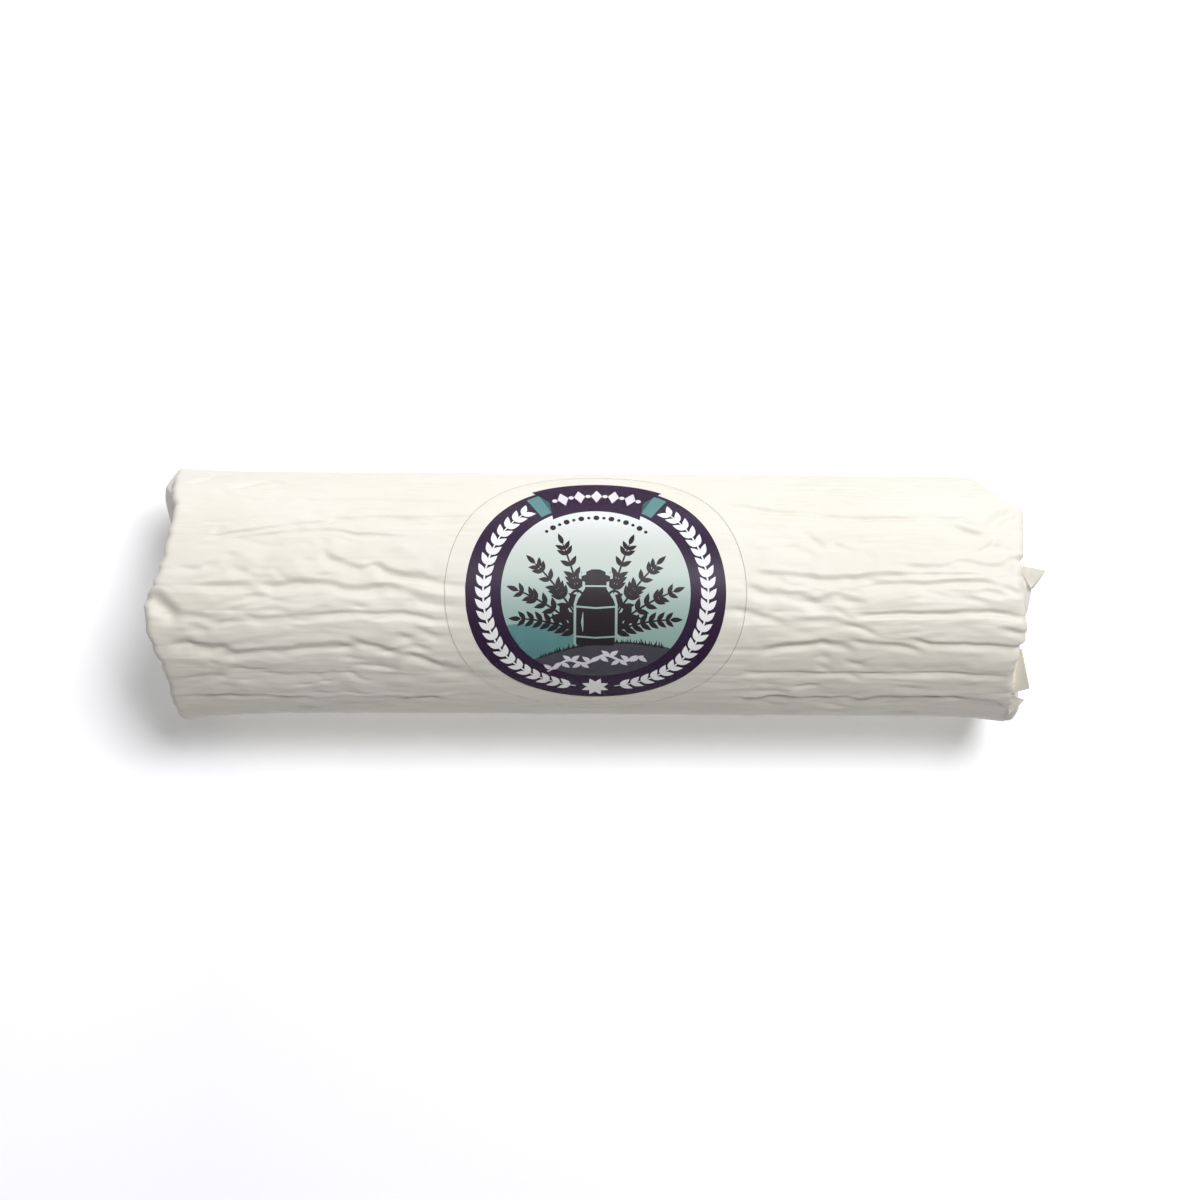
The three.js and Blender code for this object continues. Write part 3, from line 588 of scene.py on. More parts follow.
def crumpling(x, arc):
    """Facets of two sizes between the creases, and thin streaks along the upper side."""
    calm = upper_side(arc)
    warped = arc + 1.4 * value_noise(x / 19, arc / 11, 3)
    coarse = facets(x / CRUMPLE_SIZE[0], warped / CRUMPLE_SIZE[1], 5, 11)
    fine = facets(x / FINE_SIZE[0] + 20, warped / FINE_SIZE[1], 8, 14)
    streaks = (1 - np.abs(value_noise(x / STREAK_SIZE[0], warped / STREAK_SIZE[1], 9))) ** 4
    return (
        CRUMPLE * lerp(1, 0.45, calm) * coarse
        + FINE_CRUMPLE * lerp(1, 0.6, calm) * fine
        - STREAK_DEPTH * lerp(0.4, 1, calm) * streaks
    )


def traced_arc(around):
    """The arc that a place would have on a plain round log, under the same point of the view."""
    sideways = log_radius(around) / RADIUS * np.sin(around / RADIUS)
    return np.where(np.abs(around) < TRACED_TO, RADIUS * np.arcsin(sideways), around)


def seam_step(x, arc):
    """The lap of the paper: a straight step along the whole log, low on its hidden side."""
    edge = SEAM_ARC + 0.5 * np.sin(x / 31) + 0.15 * value_noise(x / 4, np.full_like(x, 1.5), 29)
    return SEAM_STEP * (smoothstep(arc, edge - 0.1, edge + 0.6) - smoothstep(arc, edge, edge + 16))


def paper_relief(x, arc, depth, distance, rim_distance):
    """How far the paper stands off the plain round log."""
    around = wrap_arc(arc)
    near_rim = np.exp(-rim_distance / RIM_FADE)
    rim_share = np.where(x < 0, RIM_SHARE[-1], RIM_SHARE[1])
    share = lerp(1, lerp(SHOWN_SHARE, rim_share, near_rim), shown_share(arc))
    groove = depth * np.exp(-distance / GROOVE_WIDTH)
    notch = NOTCH_DEPTH * groove * np.exp(-rim_distance / NOTCH_LENGTH)
    notch = notch * lerp(1, rim_share, shown_share(arc))
    off_floor = smoothstep(FLAT_EDGE - np.abs(around), 0, OFF_FLOOR)
    drawn = crease_field(x, traced_arc(around), FINE_CREASES) * (1 - 0.2 * near_rim)
    drawn = drawn + crease_field(x, around, stray_creases())
    drawn = drawn * lerp(1, UPPER_GAIN, smoothstep(around, *UPPER_RAMP))
    swell = 0
    for side, centre, width, height, length in FLARES:
        here = smoothstep(side * x, 0, FLARE_FADE)
        swell = swell + here * height * bump(arc, centre, width) * np.exp(-rim_distance / length)
    fine = (drawn + crumpling(x, around) + seam_step(x, around)) * off_floor
    relief = (fine - share * groove) * openness(x, arc)
    return swell + np.minimum(relief, label_cap(x, arc)) - notch


def squash_corner(points):
    """The squashed corner: what stands out beyond the facet is pushed back onto it."""
    run = np.subtract(FACET_END, FACET_START)
    normal = np.array([-run[1], run[0]]) / np.hypot(*run)
    beyond = (points[..., :2] - FACET_START) @ normal
    points[..., :2] -= np.maximum(beyond, 0)[..., None] * normal * FACET_FLATNESS
    return points


def row_shares():
    """Shares of the way along the log, closer together where the creases show."""
    half = FACE_CENTRE - EDGE_RADIUS
    open_side = np.linspace(-half, -CALM_HALF, OPEN_ROWS)
    calm = np.linspace(-CALM_HALF, CALM_HALF, CALM_ROWS + 2)[1:-1]
    x = np.concatenate([open_side, calm, -open_side[::-1]])
    return (x + half) / (2 * half)


def side_rows():
    shares = row_shares()
    arc, depth, distance, _ = column_grid(shares)
    left = EDGE_RADIUS - rim_reach(-1, arc, depth, distance)
    right = rim_reach(1, arc, depth, distance) - EDGE_RADIUS
    x = lerp(left, right, shares[:, None])
    rim_distance = np.minimum(x - left, right - x)
    radius = log_radius(arc) + paper_relief(x, arc, depth, distance, rim_distance)
    return squash_corner(place(x, arc / RADIUS, radius))


def end_rows(side):
    """The rounded rim and the folded face of one end, from the side inwards."""
    arc, depth, distance, fold = column_grid([0 if side < 0 else 1])
    rim = rim_reach(side, arc, depth, distance)
    lean = side * (rim - EDGE_RADIUS)
    relief = paper_relief(lean, arc, depth, distance, np.zeros_like(arc))
    rounded = rim_rows(side, arc, rim, relief)
    return squash_corner(np.concatenate([rounded, face_rows(side, arc, rim, relief, fold)]))


def rim_rows(side, arc, rim, relief):
    turn = (np.arange(1, RIM_ROWS + 1) / RIM_ROWS * math.pi / 2)[:, None]
    x = side * (rim - EDGE_RADIUS * (1 - np.sin(turn)))
    return place(x, arc / RADIUS, log_radius(arc) + relief - EDGE_RADIUS * (1 - np.cos(turn)))


def face_rows(side, arc, rim, relief, fold):
    """The face of one end, where the pleats turn inwards to a dimple in the middle."""
    ring = (1 - (np.arange(1, FACE_ROWS + 1) / (FACE_ROWS + 0.6)) ** 1.15)[:, None]
    centre, width, height = BULGES[side]
    dish = lerp(FACE_CENTRE, rim, ring ** 2)
    swell = height * bump(arc, centre, width) * np.sin(math.pi * ring ** 4)
    pleat = PLEAT_STEP * (fold_profile(fold) - 0.5) * np.sqrt(ring) * (1 - ring ** 8)
    crumple = FACE_CRUMPLE * value_noise(arc / 5, ring * 5 + 40, 21 + side) * np.sin(math.pi * ring)
    crumple = crumple + FACE_FACETS * facets(arc / 6 + 30, ring * 7 + 9, 25 + side, 35) * ring
    ray = RAY_DEPTH * (1 - np.abs(value_noise(arc / 1.6, ring * 2.5, 31 + side))) ** 2
    navel = NAVEL_DEPTH * np.exp(-(ring / NAVEL_SIZE) ** 2)
    x = side * (dish + swell + pleat + crumple - ray * np.sqrt(ring) - navel)
    return place(x, arc / RADIUS + PLEAT_TWIST * (1 - ring), ring * (log_radius(arc) - EDGE_RADIUS + relief))


def fold_profile(fold):
    """A pleat rises across its strip, and its free edge curls over a little."""
    return fold ** 1.3 - 0.25 * smoothstep(fold, 0.86, 1)


def closed_surface(rows, first_pole, last_pole):
    """Points and faces of a closed surface through rings of points."""
    count = rows.shape[1]
    points = np.concatenate([[first_pole], rows.reshape(-1, 3), [last_pole]])
    index = 1 + np.arange(rows.shape[0] * count).reshape(rows.shape[0], count)
    ahead = np.roll(index, -1, axis=1)
    quads = np.stack([index[:-1], index[1:], ahead[1:], ahead[:-1]], -1).reshape(-1, 4).tolist()
    last = len(points) - 1
    first_fan = [(0, a, b) for a, b in zip(index[0].tolist(), ahead[0].tolist())]
    last_fan = [(last, b, a) for a, b in zip(index[-1].tolist(), ahead[-1].tolist())]
    return points, quads + first_fan + last_fan


def make_paper(material):
    rows = np.concatenate([end_rows(-1)[::-1], side_rows(), end_rows(1)])
    pole_depth = FACE_CENTRE - 1.7
    poles = [(-pole_depth, 0, AXIS_HEIGHT), (pole_depth, 0, AXIS_HEIGHT)]
    points, faces = closed_surface(rows, *poles)
    paper = add_mesh("paper_wrap", points, faces, [material], sharp_angle=42)
    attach(paper, "root")
    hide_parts("wrapped_log")


def make_flap(name, corners, bow, material):
    """A loose three-cornered bit of paper, bowed and closed, with its root sunk in the end."""
    a, b, c = np.array(corners) + (0, 0, AXIS_HEIGHT)
    normal = np.cross(b - a, c - a)
    normal *= np.sign(normal[2]) / np.linalg.norm(normal)
    grid = [(i, j) for i in range(FLAP_STEPS + 1) for j in range(FLAP_STEPS + 1 - i)]
    index = {spot: number for number, spot in enumerate(grid)}
    u, v = np.array(grid).T[..., None] / FLAP_STEPS
    lift = bow * (np.sin(math.pi * u) + 0.7 * np.sin(2 * math.pi * v))
    top = a + (b - a) * u + (c - a) * v + normal * lift
    faces = [(index[i, j], index[i + 1, j], index[i, j + 1]) for i, j in grid if i + j < FLAP_STEPS]
    faces += [(index[i, j], index[i - 1, j], index[i, j - 1]) for i, j in grid if i and j]
    faces = np.array(faces)
    if np.cross(b - a, c - a)[2] < 0:
        faces = faces[:, ::-1]
    points, faces, _ = closed_sheet(top, top - normal * FLAP_THICKNESS, faces)
    flap = add_mesh("paper_" + name, points, faces, [material], sharp_angle=50)
    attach(flap, "root")
    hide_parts("wrapped_log")


def closed_sheet(upper, lower, faces):
    """A thin closed body between two layers of the same points, and the face beside each wall."""
    count = len(upper)
    edges = np.concatenate([faces[:, [0, 1]], faces[:, [1, 2]], faces[:, [2, 0]]])
    owner = np.tile(np.arange(len(faces)), 3)
    seen = {tuple(edge) for edge in edges.tolist()}
    border = [(edge, own) for edge, own in zip(edges.tolist(), owner.tolist())
              if (edge[1], edge[0]) not in seen]
    walls = [(a, a + count, b + count, b) for (a, b), _ in border]
    under = (faces[:, ::-1] + count).tolist()
    owners = [own for _, own in border]
    return np.concatenate([upper, lower]), faces.tolist() + under + walls, owners


# The label's shapes, in millimetres from its middle: x along the log, y along the arc

def polar(radius, degrees, centre=(0, 0)):
    angle = math.radians(degrees)
    return centre[0] + radius * math.cos(angle), centre[1] + radius * math.sin(angle)


def arc_points(radius, start, end, count, centre=(0, 0)):
    return [polar(radius, degrees, centre) for degrees in np.linspace(start, end, count)]


def circle(centre, radius, count):
    return arc_points(radius, 0, 360 * (1 - 1 / count), count, centre)


def turned(shape, centre, degrees):
    c, s = math.cos(math.radians(degrees)), math.sin(math.radians(degrees))
    return [(centre[0] + c * x - s * y, centre[1] + s * x + c * y) for x, y in shape]


def leaf(length, width):
    """A pointed leaf from the origin along +x."""
    steps = np.linspace(0, 1, 9)
    upper = [(length * t, width / 2 * math.sin(math.pi * t ** 0.8)) for t in steps]
    lower = [(x, -y) for x, y in reversed(upper[1:-1])]
    return upper + lower


def lozenge(width, height):
    return [(width / 2, 0), (0, height / 2), (-width / 2, 0), (0, -height / 2)]


def stroke(path, width, taper=0.0):
    """A strip along a path, thinner towards both ends by a share."""
    p = np.array(path, float)
    direction = np.gradient(p, axis=0)
    direction /= np.linalg.norm(direction, axis=1)[:, None]
    normal = np.stack([-direction[:, 1], direction[:, 0]], -1)
    share = np.sin(np.linspace(0, math.pi, len(p)))
    half = width / 2 * (1 - taper + taper * share)[:, None]
    return [tuple(q) for q in p + normal * half] + [tuple(q) for q in (p - normal * half)[::-1]]


def mirrored(shape):
    return [(-x, y) for x, y in reversed(shape)]


def on_both_sides(shape):
    return [shape, mirrored(shape)]


def laurel_ring():
    """Two leafy sprays that rise from a daisy at the foot of the ring."""
    shapes = []
    for i in range(23):
        angle = -77 + 5.7 * i
        for lean in (34, -34):
            shapes += on_both_sides(turned(leaf(3.9, 1.75), polar(RING_MIDDLE, angle), angle + 90 + lean))
    stem = stroke(arc_points(RING_MIDDLE, -80, 51, 60), 0.5, 0.4)
    daisy = [turned(leaf(4.0, 1.9), (0, -RING_MIDDLE), 45 * i + 22.5) for i in range(8)]
    return shapes + on_both_sides(stem) + daisy


def arc_banner(inner, outer, end):
    """A banner that follows the ring over its top, with notched ends."""
    middle, notch = (inner + outer) / 2, end + 4
    crown = arc_points(outer, end, 180 - end, 50)
    base = arc_points(inner, 180 - end, end, 50)
    return crown + [polar(middle, 180 - notch)] + base + [polar(middle, notch)]


def banner_tail(inner, outer, start, end):
    """What shows of the ribbon behind the banner's right end."""
    return arc_points(outer, start, end, 8) + arc_points(inner, end, start, 8)


def banner_marks():
    """Lozenges and dots in turn along the banner."""
    shapes = []
    for i in range(-5, 6):
        angle = 90 + 4.4 * i
        middle = polar(RING_MIDDLE, angle)
        if i % 2 == 0:
            shapes.append(turned(lozenge(5.6, 3.2), middle, angle))
        else:
            shapes.append(circle(middle, 0.75, 14))
    return shapes


def beaded_arc():
    """A bow of dots inside the disc, under the banner."""
    return [circle(polar(22.6, 90 + 5.4 * i), 0.85 if i % 2 == 0 else 0.5, 14) for i in range(-7, 8)]


def hill(centre_x, centre_y, radius):
    """What a big circle covers of the disc."""
    skyline = arc_points(radius, 20, 160, 200, (centre_x, centre_y))
    crest = [p for p in skyline if math.hypot(*p) < DISC_RADIUS]
    right = math.degrees(math.atan2(crest[0][1], crest[0][0]))
    left = math.degrees(math.atan2(crest[-1][1], crest[-1][0])) % 360
    return crest + arc_points(DISC_RADIUS, left, right + 360, 70)


def hill_height(x, hill_circle):
    centre_x, centre_y, radius = hill_circle
    return centre_y + math.sqrt(radius ** 2 - (x - centre_x) ** 2)


def milk_churn(margin=0.0):
    """The outline of an old milk churn on the near hill, or of the bare margin round it."""
    half = [
        (5.0, 0), (5.4, 0.6), (5.4, 12.0), (4.9, 13.4), (3.0, 16.4), (3.0, 18.2), (4.0, 18.6),
        (4.0, 19.9), (2.7, 20.3), (2.7, 21.1), (1.1, 21.8),
    ]
    outline = [(x + margin, CHURN_FOOT + y + (margin if y > 12 else 0)) for x, y in half]
    return outline + mirrored(outline)


def churn_lines():
    """The light bands, the shine and the neck line of the churn."""
    foot = CHURN_FOOT
    heights = (foot + 2.8, foot + 11.4)
    bands = [stroke([(-5.4, y), (0, y - 0.4), (5.4, y)], 0.5) for y in heights]
    shine = stroke([(-3.5, foot + 4.2), (-3.7, foot + 7), (-3.5, foot + 9.8)], 0.65, 0.8)
    neck = stroke([(-3.0, foot + 17.1), (3.0, foot + 17.1)], 0.45)
    return bands + [shine, neck]


def churn_handles():
    centres = [(side * 5.2, CHURN_FOOT + 14.1) for side in (-1, 1)]
    return [stroke(arc_points(1.7, -60, 240, 16, centre), 0.65) for centre in centres]


def sprig(foot, length, angle, bend, pairs, leaf_length):
    """A stem that leaves its foot at an angle and bends over, with pairs of leaves and a tip leaf."""
    steps = 16
    path = [foot]
    for i in range(steps):
        heading = math.radians(angle - bend * i / steps)
        x, y = path[-1]
        path.append((x + length / steps * math.cos(heading), y + length / steps * math.sin(heading)))
    shapes = [stroke(path, 0.6, 0.3)]
    for i in range(pairs):
        at = round(lerp(3, steps - 1, i / (pairs - 1)))
        heading = angle - bend * at / steps
        size = leaf_length * lerp(1.0, 0.72, i / (pairs - 1))
        for side in (-1, 1):
            shapes.append(turned(leaf(size, size * 0.42), path[at], heading + side * 44))
    shapes.append(turned(leaf(leaf_length * 0.85, leaf_length * 0.33), path[-1], angle - bend))
    return shapes


def fan_of_sprigs():
    """Sprigs that spread to both sides from behind the churn."""
    shapes = []
    for angle, bend, length, pairs in ((82, 14, 27, 9), (64, 20, 25, 9), (45, 24, 23, 8), (27, 26, 19, 7)):
        right = sprig((2.5, CHURN_FOOT + 3), length, angle, bend, pairs, 4.3)
        shapes += right + [mirrored(shape) for shape in right]
    return shapes


def meadow():
    """Tufts of grass along the near hill."""
    stream = Stream(19)
    shapes = []
    x = -19.0
    while x < 23.0:
        y = hill_height(x, NEAR_HILL)
        height, lean = stream.between(0.6, 1.7), stream.between(-0.5, 0.5)
        if math.hypot(x, y) < DISC_RADIUS - 1.6:
            shapes.append([(x - 0.35, y - 0.6), (x + 0.35, y - 0.6), (x + lean, y + height)])
        x += stream.between(0.45, 0.95)
    return shapes


def hill_vine():
    """A pale wavy stem across the near hill with leaves in its bends."""
    span, waves, height = 13.5, 2.5, 1.1
    x = np.linspace(-span, span, 60)

    def wave(at):
        return hill_height(at, NEAR_HILL) - 5.4 + height * math.sin(waves * math.pi * at / span)

    shapes = [stroke([(at, wave(at)) for at in x], 0.9, 0.55)]
    bends = int(4 * waves)
    for i in range(bends):
        at = lerp(-span, span, (i + 0.5) / bends)
        up = 1 if i % 2 == 0 else -1
        for lean in (38, 142):
            shapes.append(turned(leaf(3.0, 1.45), (at, wave(at)), up * lean))
    return shapes


PRINT_FIELDS = ["purple", "disc", "ground", "plum", "teal", "deep_teal", "dark", "white", "pale"]


def print_shapes():
    """Every printed shape as (field, outline), the lowest first."""
    inner, outer, end = BANNER
    tail = banner_tail(inner + 2.4, outer - 2.4, end - 5, end + 6)
    fold = banner_tail(inner + 2.4, outer - 2.4, end + 1.5, end + 6)
    layers = [
        ("purple", [circle((0, 0), PRINT_RADIUS, 180)]),
        ("disc", [circle((0, 0), DISC_RADIUS, 150)]),
        ("teal", [hill(*FAR_HILL)] + on_both_sides(tail)),
        ("deep_teal", on_both_sides(fold)),
        ("plum", [arc_banner(*BANNER)]),
        ("dark", fan_of_sprigs() + beaded_arc()),
        ("disc", [milk_churn(0.7)]),
        ("ground", [hill(*NEAR_HILL)]),
        ("dark", meadow() + churn_handles() + [milk_churn()]),
        ("disc", churn_lines()),
        ("white", laurel_ring()),
        ("pale", hill_vine() + banner_marks()),
    ]
    return [(field, shape) for field, shapes in layers for shape in shapes]


def inside(outline, points):
    """Which points lie inside an outline."""
    result = np.zeros(len(points), bool)
    outline = np.array(outline)
    low, high = outline.min(0), outline.max(0)
    near = np.all((points >= low) & (points <= high), axis=1)
    px, py = points[near, 0], points[near, 1]
    odd = np.zeros(near.sum(), bool)
    for (x0, y0), (x1, y1) in zip(outline, np.roll(outline, -1, axis=0)):
        crosses = (y0 > py) != (y1 > py)
        with np.errstate(divide="ignore", invalid="ignore"):
            at = x0 + (py - y0) * (x1 - x0) / (y1 - y0)
        odd ^= crosses & (px < at)
    result[near] = odd
    return result


def divided(outline):
    """An outline with points added along its long edges, so that it can follow the log."""
    points = []
    for start, end in zip(outline, outline[1:] + outline[:1]):
        count = math.ceil(math.dist(start, end) / LONGEST_EDGE)
        points += [tuple(lerp(np.array(start), np.array(end), i / count)) for i in range(count)]
    return points


def printed_triangles():
    """The print as triangles in label millimetres, with the field of each."""
    shapes = print_shapes()
    points, edges = [], []
    for _, outline in shapes:
        start = len(points)
        ring = divided(outline)
        points += ring
        edges += [(start + i, start + (i + 1) % len(ring)) for i in range(len(ring))]
    grid = np.arange(-GRID_HALF, GRID_HALF + GRID_STEP, GRID_STEP)
    points += [(x, y) for x in grid for y in grid if math.hypot(x, y) < PRINT_RADIUS + 1]
    verts, _, tris, *_ = delaunay_2d_cdt([Vector(p) for p in points], edges, [], 0, 1e-4)
    verts = np.array([tuple(v) for v in verts])
    tris = np.array(tris)
    middles = verts[tris].mean(1)
    field = np.full(len(tris), -1)
    for name, outline in shapes:
        field[inside(outline, middles)] = PRINT_FIELDS.index(name)
    kept = field >= 0
    return verts, tris[kept], field[kept]


def on_label(points, height):
    """Places on the log for points in label millimetres."""
    arc = LABEL_ARC + points[:, 1]
    return place(LABEL_X + points[:, 0], arc / RADIUS, log_radius(arc) + height)


def label_layers(points, faces, height):
    """A sheet of triangles on the label as a thin closed body."""
    used, faces = np.unique(faces, return_inverse=True)
    faces = faces.reshape(-1, 3)
    points = points[used]
    a, b, c = (points[faces[:, i]] for i in range(3))
    turn = (b[:, 0] - a[:, 0]) * (c[:, 1] - a[:, 1]) - (b[:, 1] - a[:, 1]) * (c[:, 0] - a[:, 0])
    faces[turn < 0] = faces[turn < 0][:, ::-1]
    return closed_sheet(on_label(points, height), on_label(points, height - SHEET_THICKNESS), faces)


def make_print(materials):
    verts, tris, field = printed_triangles()
    points, faces, owners = label_layers(verts, tris, PRINT_HEIGHT)
    face_field = np.concatenate([field, field, field[owners]])
    sheet = add_mesh("label_print", points, faces, materials, sharp_angle=40, face_material=face_field)
    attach(sheet, "root")
    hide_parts("round_label")


def label_rings(radii_heights, sectors):
    """Rings of points on the label, one for each (radius, height)."""
    turns = np.arange(sectors) * 2 * math.pi / sectors
    unit = np.stack([np.cos(turns), np.sin(turns)], -1)
    return np.array([on_label(radius * unit, height) for radius, height in radii_heights])


def make_film(material, edge_shade_material):
    """The clear film, thin and closed, and the fine raised line where it was cut."""
    sectors = FILM_SECTORS
    radii = FILM_RADIUS * np.linspace(0.06, 1, FILM_RINGS)
    top = [(radius, FILM_HEIGHT) for radius in radii]
    under = [(radius, FILM_HEIGHT - SHEET_THICKNESS) for radius in radii[::-1]]
    centre = np.array([[0.0, 0.0]])
    poles = [on_label(centre, FILM_HEIGHT)[0], on_label(centre, FILM_HEIGHT - SHEET_THICKNESS)[0]]
    points, faces = closed_surface(label_rings(top + under, sectors), *poles)
    film = add_mesh("label_film", points, faces, [material], sharp_angle=40)
    turns = np.linspace(0, 2 * math.pi, EDGE_SIDES + 1)[:-1]
    edge_radii = FILM_RADIUS + EDGE_WIDTH / 2 * np.cos(turns)
    edge_heights = FILM_HEIGHT + EDGE_HEIGHT / 2 * np.sin(turns)
    ring = label_rings(zip(edge_radii, edge_heights), sectors)
    index = np.arange(ring.shape[0] * sectors).reshape(ring.shape[0], sectors)
    up, ahead = np.roll(index, -1, axis=0), np.roll(index, -1, axis=1)
    both = np.roll(up, -1, axis=1)
    quads = np.stack([index, ahead, both, up], -1).reshape(-1, 4)
    # The edge bead carries the painted shade of the film's cut edge.
    edge = add_mesh("label_film_edge", ring.reshape(-1, 3), quads, [edge_shade_material])
    for piece in (film, edge):
        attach(piece, "root")
        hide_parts("round_label")


# Materials

def new_material(name):
    material = bpy.data.materials.new(name)
    material.use_nodes = True
    tree = material.node_tree
    return material, tree, tree.nodes["Principled BSDF"]


def set_inputs(shader, **values):
    for name, value in values.items():
        shader.inputs[name.replace("_", " ")].default_value = value


def object_noise(tree, scale, stretch, detail, roughness):
    """A noise texture in the object's own metres, stretched by three factors."""
    coords = tree.nodes.new("ShaderNodeTexCoord")
    mapping = tree.nodes.new("ShaderNodeMapping")
    mapping.inputs["Scale"].default_value = stretch
    noise = tree.nodes.new("ShaderNodeTexNoise")
    set_inputs(noise, Scale=scale, Detail=detail, Roughness=roughness)
    tree.links.new(coords.outputs["Object"], mapping.inputs["Vector"])
    tree.links.new(mapping.outputs["Vector"], noise.inputs["Vector"])
    return noise.outputs["Fac"]


def ramp(tree, source, stops):
    node = tree.nodes.new("ShaderNodeValToRGB")
    elements = node.color_ramp.elements
    while len(elements) < len(stops):
        elements.new(0.5)
    for element, (position, colour) in zip(elements, stops):
        element.position = position
        element.color = (*colour, 1)
    tree.links.new(source, node.inputs["Fac"])
    return node.outputs["Color"]


def add_bump(tree, shader, sources):
    """Bump nodes in a row, one for each (height source, strength, distance in metres)."""
    previous = None
    for source, strength, distance in sources:
        node = tree.nodes.new("ShaderNodeBump")
        set_inputs(node, Strength=strength, Distance=distance)
        tree.links.new(source, node.inputs["Height"])
        if previous:
            tree.links.new(previous, node.inputs["Normal"])
        previous = node.outputs["Normal"]
    tree.links.new(previous, shader.inputs["Normal"])


def srgb(red, green, blue):
    """A colour given in 0 to 255 as the linear values that Blender takes."""
    def linear(value):
        value /= 255
        return value / 12.92 if value <= 0.04045 else ((value + 0.055) / 1.055) ** 2.4
    return linear(red), linear(green), linear(blue)


def paper_material():
    """White satin paper: faint clouds in its colour, fine fibres and a soft sheen."""
    material, tree, shader = new_material("white_paper")
    clouds = object_noise(tree, 45, (0.5, 1, 1), 4, 0.55)
    colour = ramp(tree, clouds, [(0.3, srgb(230, 226, 210)), (0.7, srgb(236, 232, 218))])
    tree.links.new(colour, shader.inputs["Base Color"])
    set_inputs(shader, Roughness=0.52, IOR=1.42)
    fibres = object_noise(tree, 900, (0.35, 1, 1), 3, 0.6)
    crinkles = object_noise(tree, 260, (0.2, 1, 1), 4, 0.55)
    add_bump(tree, shader, [(crinkles, 0.45, 0.0003), (fibres, 0.2, 0.0001)])
    return material


def ink_material(name, colour, spread=0.05):
    """Satin ink: a colour with faint clouds."""
    material, tree, shader = new_material(name)
    clouds = object_noise(tree, 120, (1, 1, 1), 3, 0.5)
    base = np.array(srgb(*colour))
    stops = [(0.35, tuple(base * (1 - spread))), (0.65, tuple(base * (1 + spread)))]
    tree.links.new(ramp(tree, clouds, stops), shader.inputs["Base Color"])
    set_inputs(shader, Roughness=0.65, IOR=1.3, Specular_IOR_Level=0.3)
    return material


def sky_material():
    """The disc's grey-green field, pale at the top and deeper towards the horizon."""
    material, tree, shader = new_material("label_disc")
    coords = tree.nodes.new("ShaderNodeTexCoord")
    parts = tree.nodes.new("ShaderNodeSeparateXYZ")
    tree.links.new(coords.outputs["Object"], parts.inputs["Vector"])
    fade = tree.nodes.new("ShaderNodeMapRange")
    set_inputs(fade, From_Min=SKY_FROM * MM, From_Max=SKY_TO * MM)
    tree.links.new(parts.outputs["Y"], fade.inputs["Value"])
    stops = [
        (0.0, srgb(152, 180, 169)), (0.24, srgb(167, 188, 179)), (0.40, srgb(183, 199, 188)),
        (0.57, srgb(199, 209, 198)), (0.76, srgb(214, 220, 212)), (1.0, srgb(233, 235, 231)),
    ]
    tree.links.new(ramp(tree, fade.outputs["Result"], stops), shader.inputs["Base Color"])
    set_inputs(shader, Roughness=0.5, IOR=1.4)
    return material


def print_materials():
    inks = {
        "purple": (51, 34, 58), "ground": (78, 76, 84), "plum": (46, 22, 52),
        "teal": (96, 142, 140), "deep_teal": (58, 96, 98), "dark": (44, 38, 42),
        "white": (243, 242, 240), "pale": (226, 222, 226),
    }
    return [
        sky_material() if field == "disc" else ink_material("label_" + field, inks[field])
        for field in PRINT_FIELDS
    ]


def film_material():
    """Clear film: see-through, with a faint soft gloss."""
    material, tree, shader = new_material("clear_film")
    tree.nodes.remove(shader)
    clear = tree.nodes.new("ShaderNodeBsdfTransparent")
    gloss = tree.nodes.new("ShaderNodeBsdfGlossy")
    set_inputs(gloss, Roughness=0.38)
    mix = tree.nodes.new("ShaderNodeMixShader")
    set_inputs(mix, Fac=0.006)
    tree.links.new(clear.outputs["BSDF"], mix.inputs[1])
    tree.links.new(gloss.outputs["BSDF"], mix.inputs[2])
    tree.links.new(mix.outputs["Shader"], tree.nodes["Material Output"].inputs["Surface"])
    return material


def film_edge_shade_material():
    """The cut edge of the film: a real thin bead, whose darker see-through tint is painted shade for the
    light that the cut edge bends away.
    """
    material, _, shader = new_material("film_edge")
    # The dark tint is painted shade along the cut edge; the raised bead under it is real.
    set_inputs(shader, Base_Color=(0.40, 0.36, 0.30, 1), Roughness=0.5, Alpha=0.22)
    return material


def floor_material():
    """A pale floor that stays near white outside the shadow."""
    material, _, shader = new_material("pale_floor")
    set_inputs(shader, Base_Color=(PALE, PALE, PALE, 1), Roughness=0.9)
    set_inputs(shader, Emission_Color=(1, 1, 1, 1), Emission_Strength=FLOOR_GLOW)
    return material


# The studio

def make_floor():
    bpy.ops.mesh.primitive_plane_add(size=FLOOR_SIZE)
    floor = bpy.context.object
    floor.name = "studio_floor"
    floor.data.materials.append(floor_material())


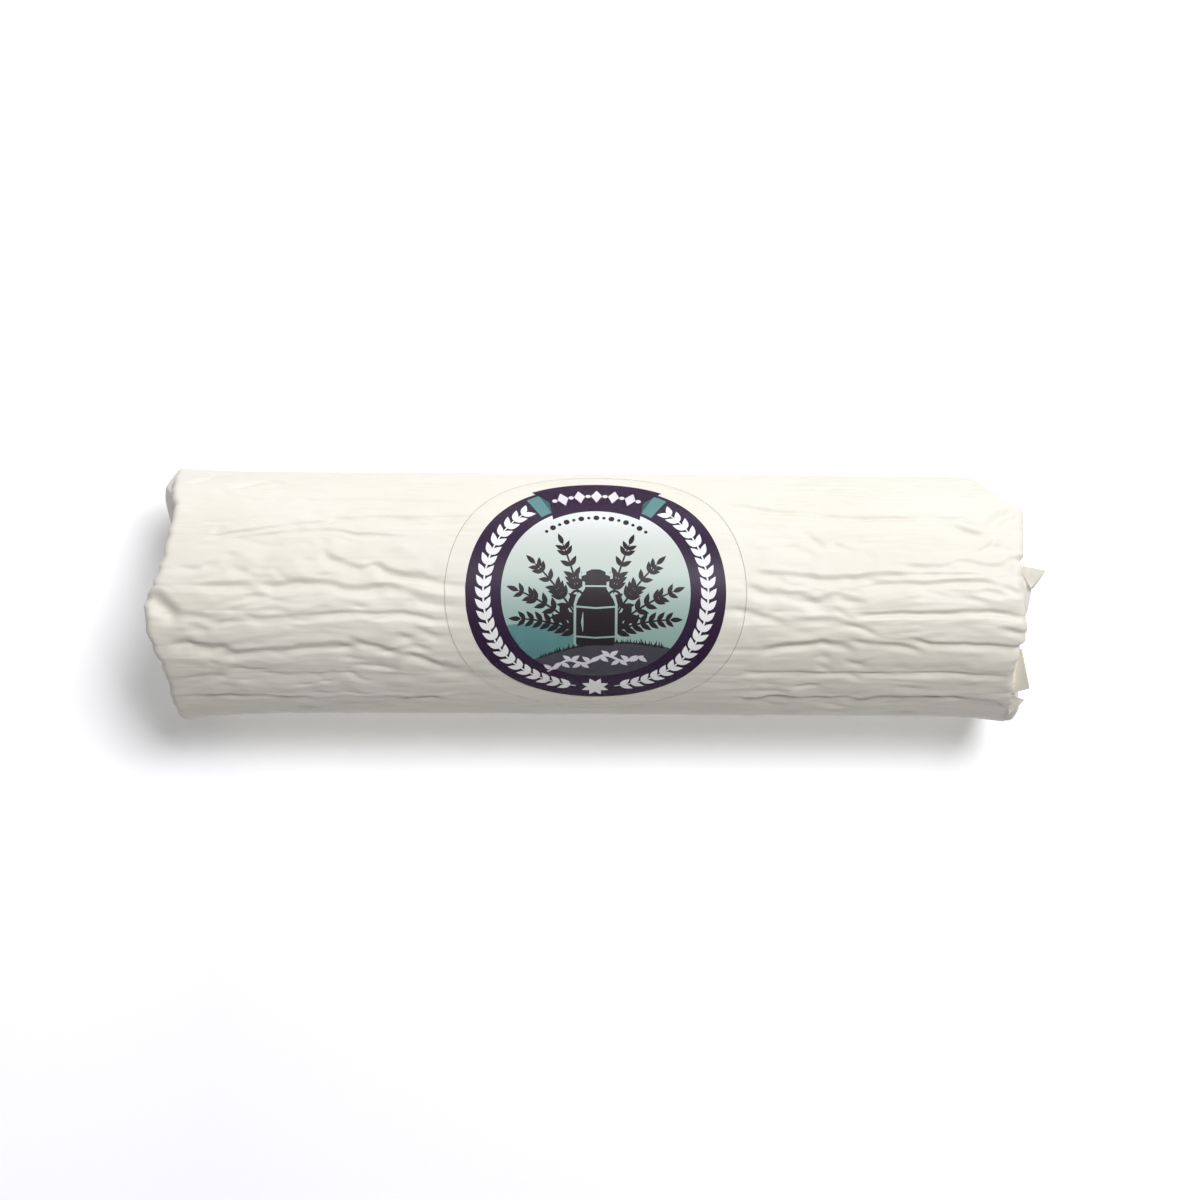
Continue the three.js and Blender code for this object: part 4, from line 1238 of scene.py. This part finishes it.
def area_light(name, lean_y, lean_x, power, colour):
    """A soft square light, leaning from straight above towards +Y and +X by two angles."""
    light = bpy.data.lights.new(name, "AREA")
    light.shape = "SQUARE"
    light.size = LIGHT_SIZE
    light.energy = power
    light.color = colour
    lamp = bpy.data.objects.new(name, light)
    direction = Vector((math.tan(math.radians(lean_x)), math.tan(math.radians(lean_y)), 1)).normalized()
    lamp.location = Vector((0, 0, AXIS_HEIGHT * MM)) + direction * LIGHT_DISTANCE
    lamp.rotation_euler = direction.to_track_quat("Z", "Y").to_euler()
    lamp.visible_camera = False
    bpy.context.scene.collection.objects.link(lamp)


def make_world():
    """A dim room that a camera sees as pale as the floor."""
    world = bpy.data.worlds.new("studio")
    world.use_nodes = True
    tree = world.node_tree
    dim = tree.nodes["Background"]
    set_inputs(dim, Color=(1, 1, 1, 1), Strength=ROOM_LIGHT)
    pale = tree.nodes.new("ShaderNodeBackground")
    set_inputs(pale, Color=(PALE, PALE, PALE, 1))
    path = tree.nodes.new("ShaderNodeLightPath")
    mix = tree.nodes.new("ShaderNodeMixShader")
    tree.links.new(path.outputs["Is Camera Ray"], mix.inputs["Fac"])
    tree.links.new(dim.outputs["Background"], mix.inputs[1])
    tree.links.new(pale.outputs["Background"], mix.inputs[2])
    tree.links.new(mix.outputs["Shader"], tree.nodes["World Output"].inputs["Surface"])
    bpy.context.scene.world = world


def make_lights():
    area_light("top_softbox", lean_y=18, lean_x=14, power=21.6, colour=(1, 1, 1.05))
    area_light("far_softbox", lean_y=76, lean_x=8, power=5.1, colour=(0.98, 1, 1.1))
    make_world()


def make_camera():
    data = bpy.data.cameras.new("camera")
    data.sensor_width = SENSOR_WIDTH
    data.lens = SENSOR_WIDTH * VIEW_FOCAL_PIXELS / FRAME_PIXELS
    data.clip_start = 0.05
    data.clip_end = 20
    camera = bpy.data.objects.new("camera", data)
    camera.location = (0, VIEW_SHIFT_Y * MM, (AXIS_HEIGHT + VIEW_DISTANCE) * MM)
    camera.rotation_euler = (0, 0, VIEW_ROLL)
    bpy.context.scene.collection.objects.link(camera)
    bpy.context.scene.camera = camera


make_camera()
make_lights()
make_floor()
paper = paper_material()
make_paper(paper)
for flap_name, flap_corners, flap_bow in FLAPS:
    make_flap(flap_name, flap_corners, flap_bow, paper)
make_print(print_materials())
make_film(film_material(), film_edge_shade_material())
bpy.context.scene.view_settings.view_transform = "Standard"
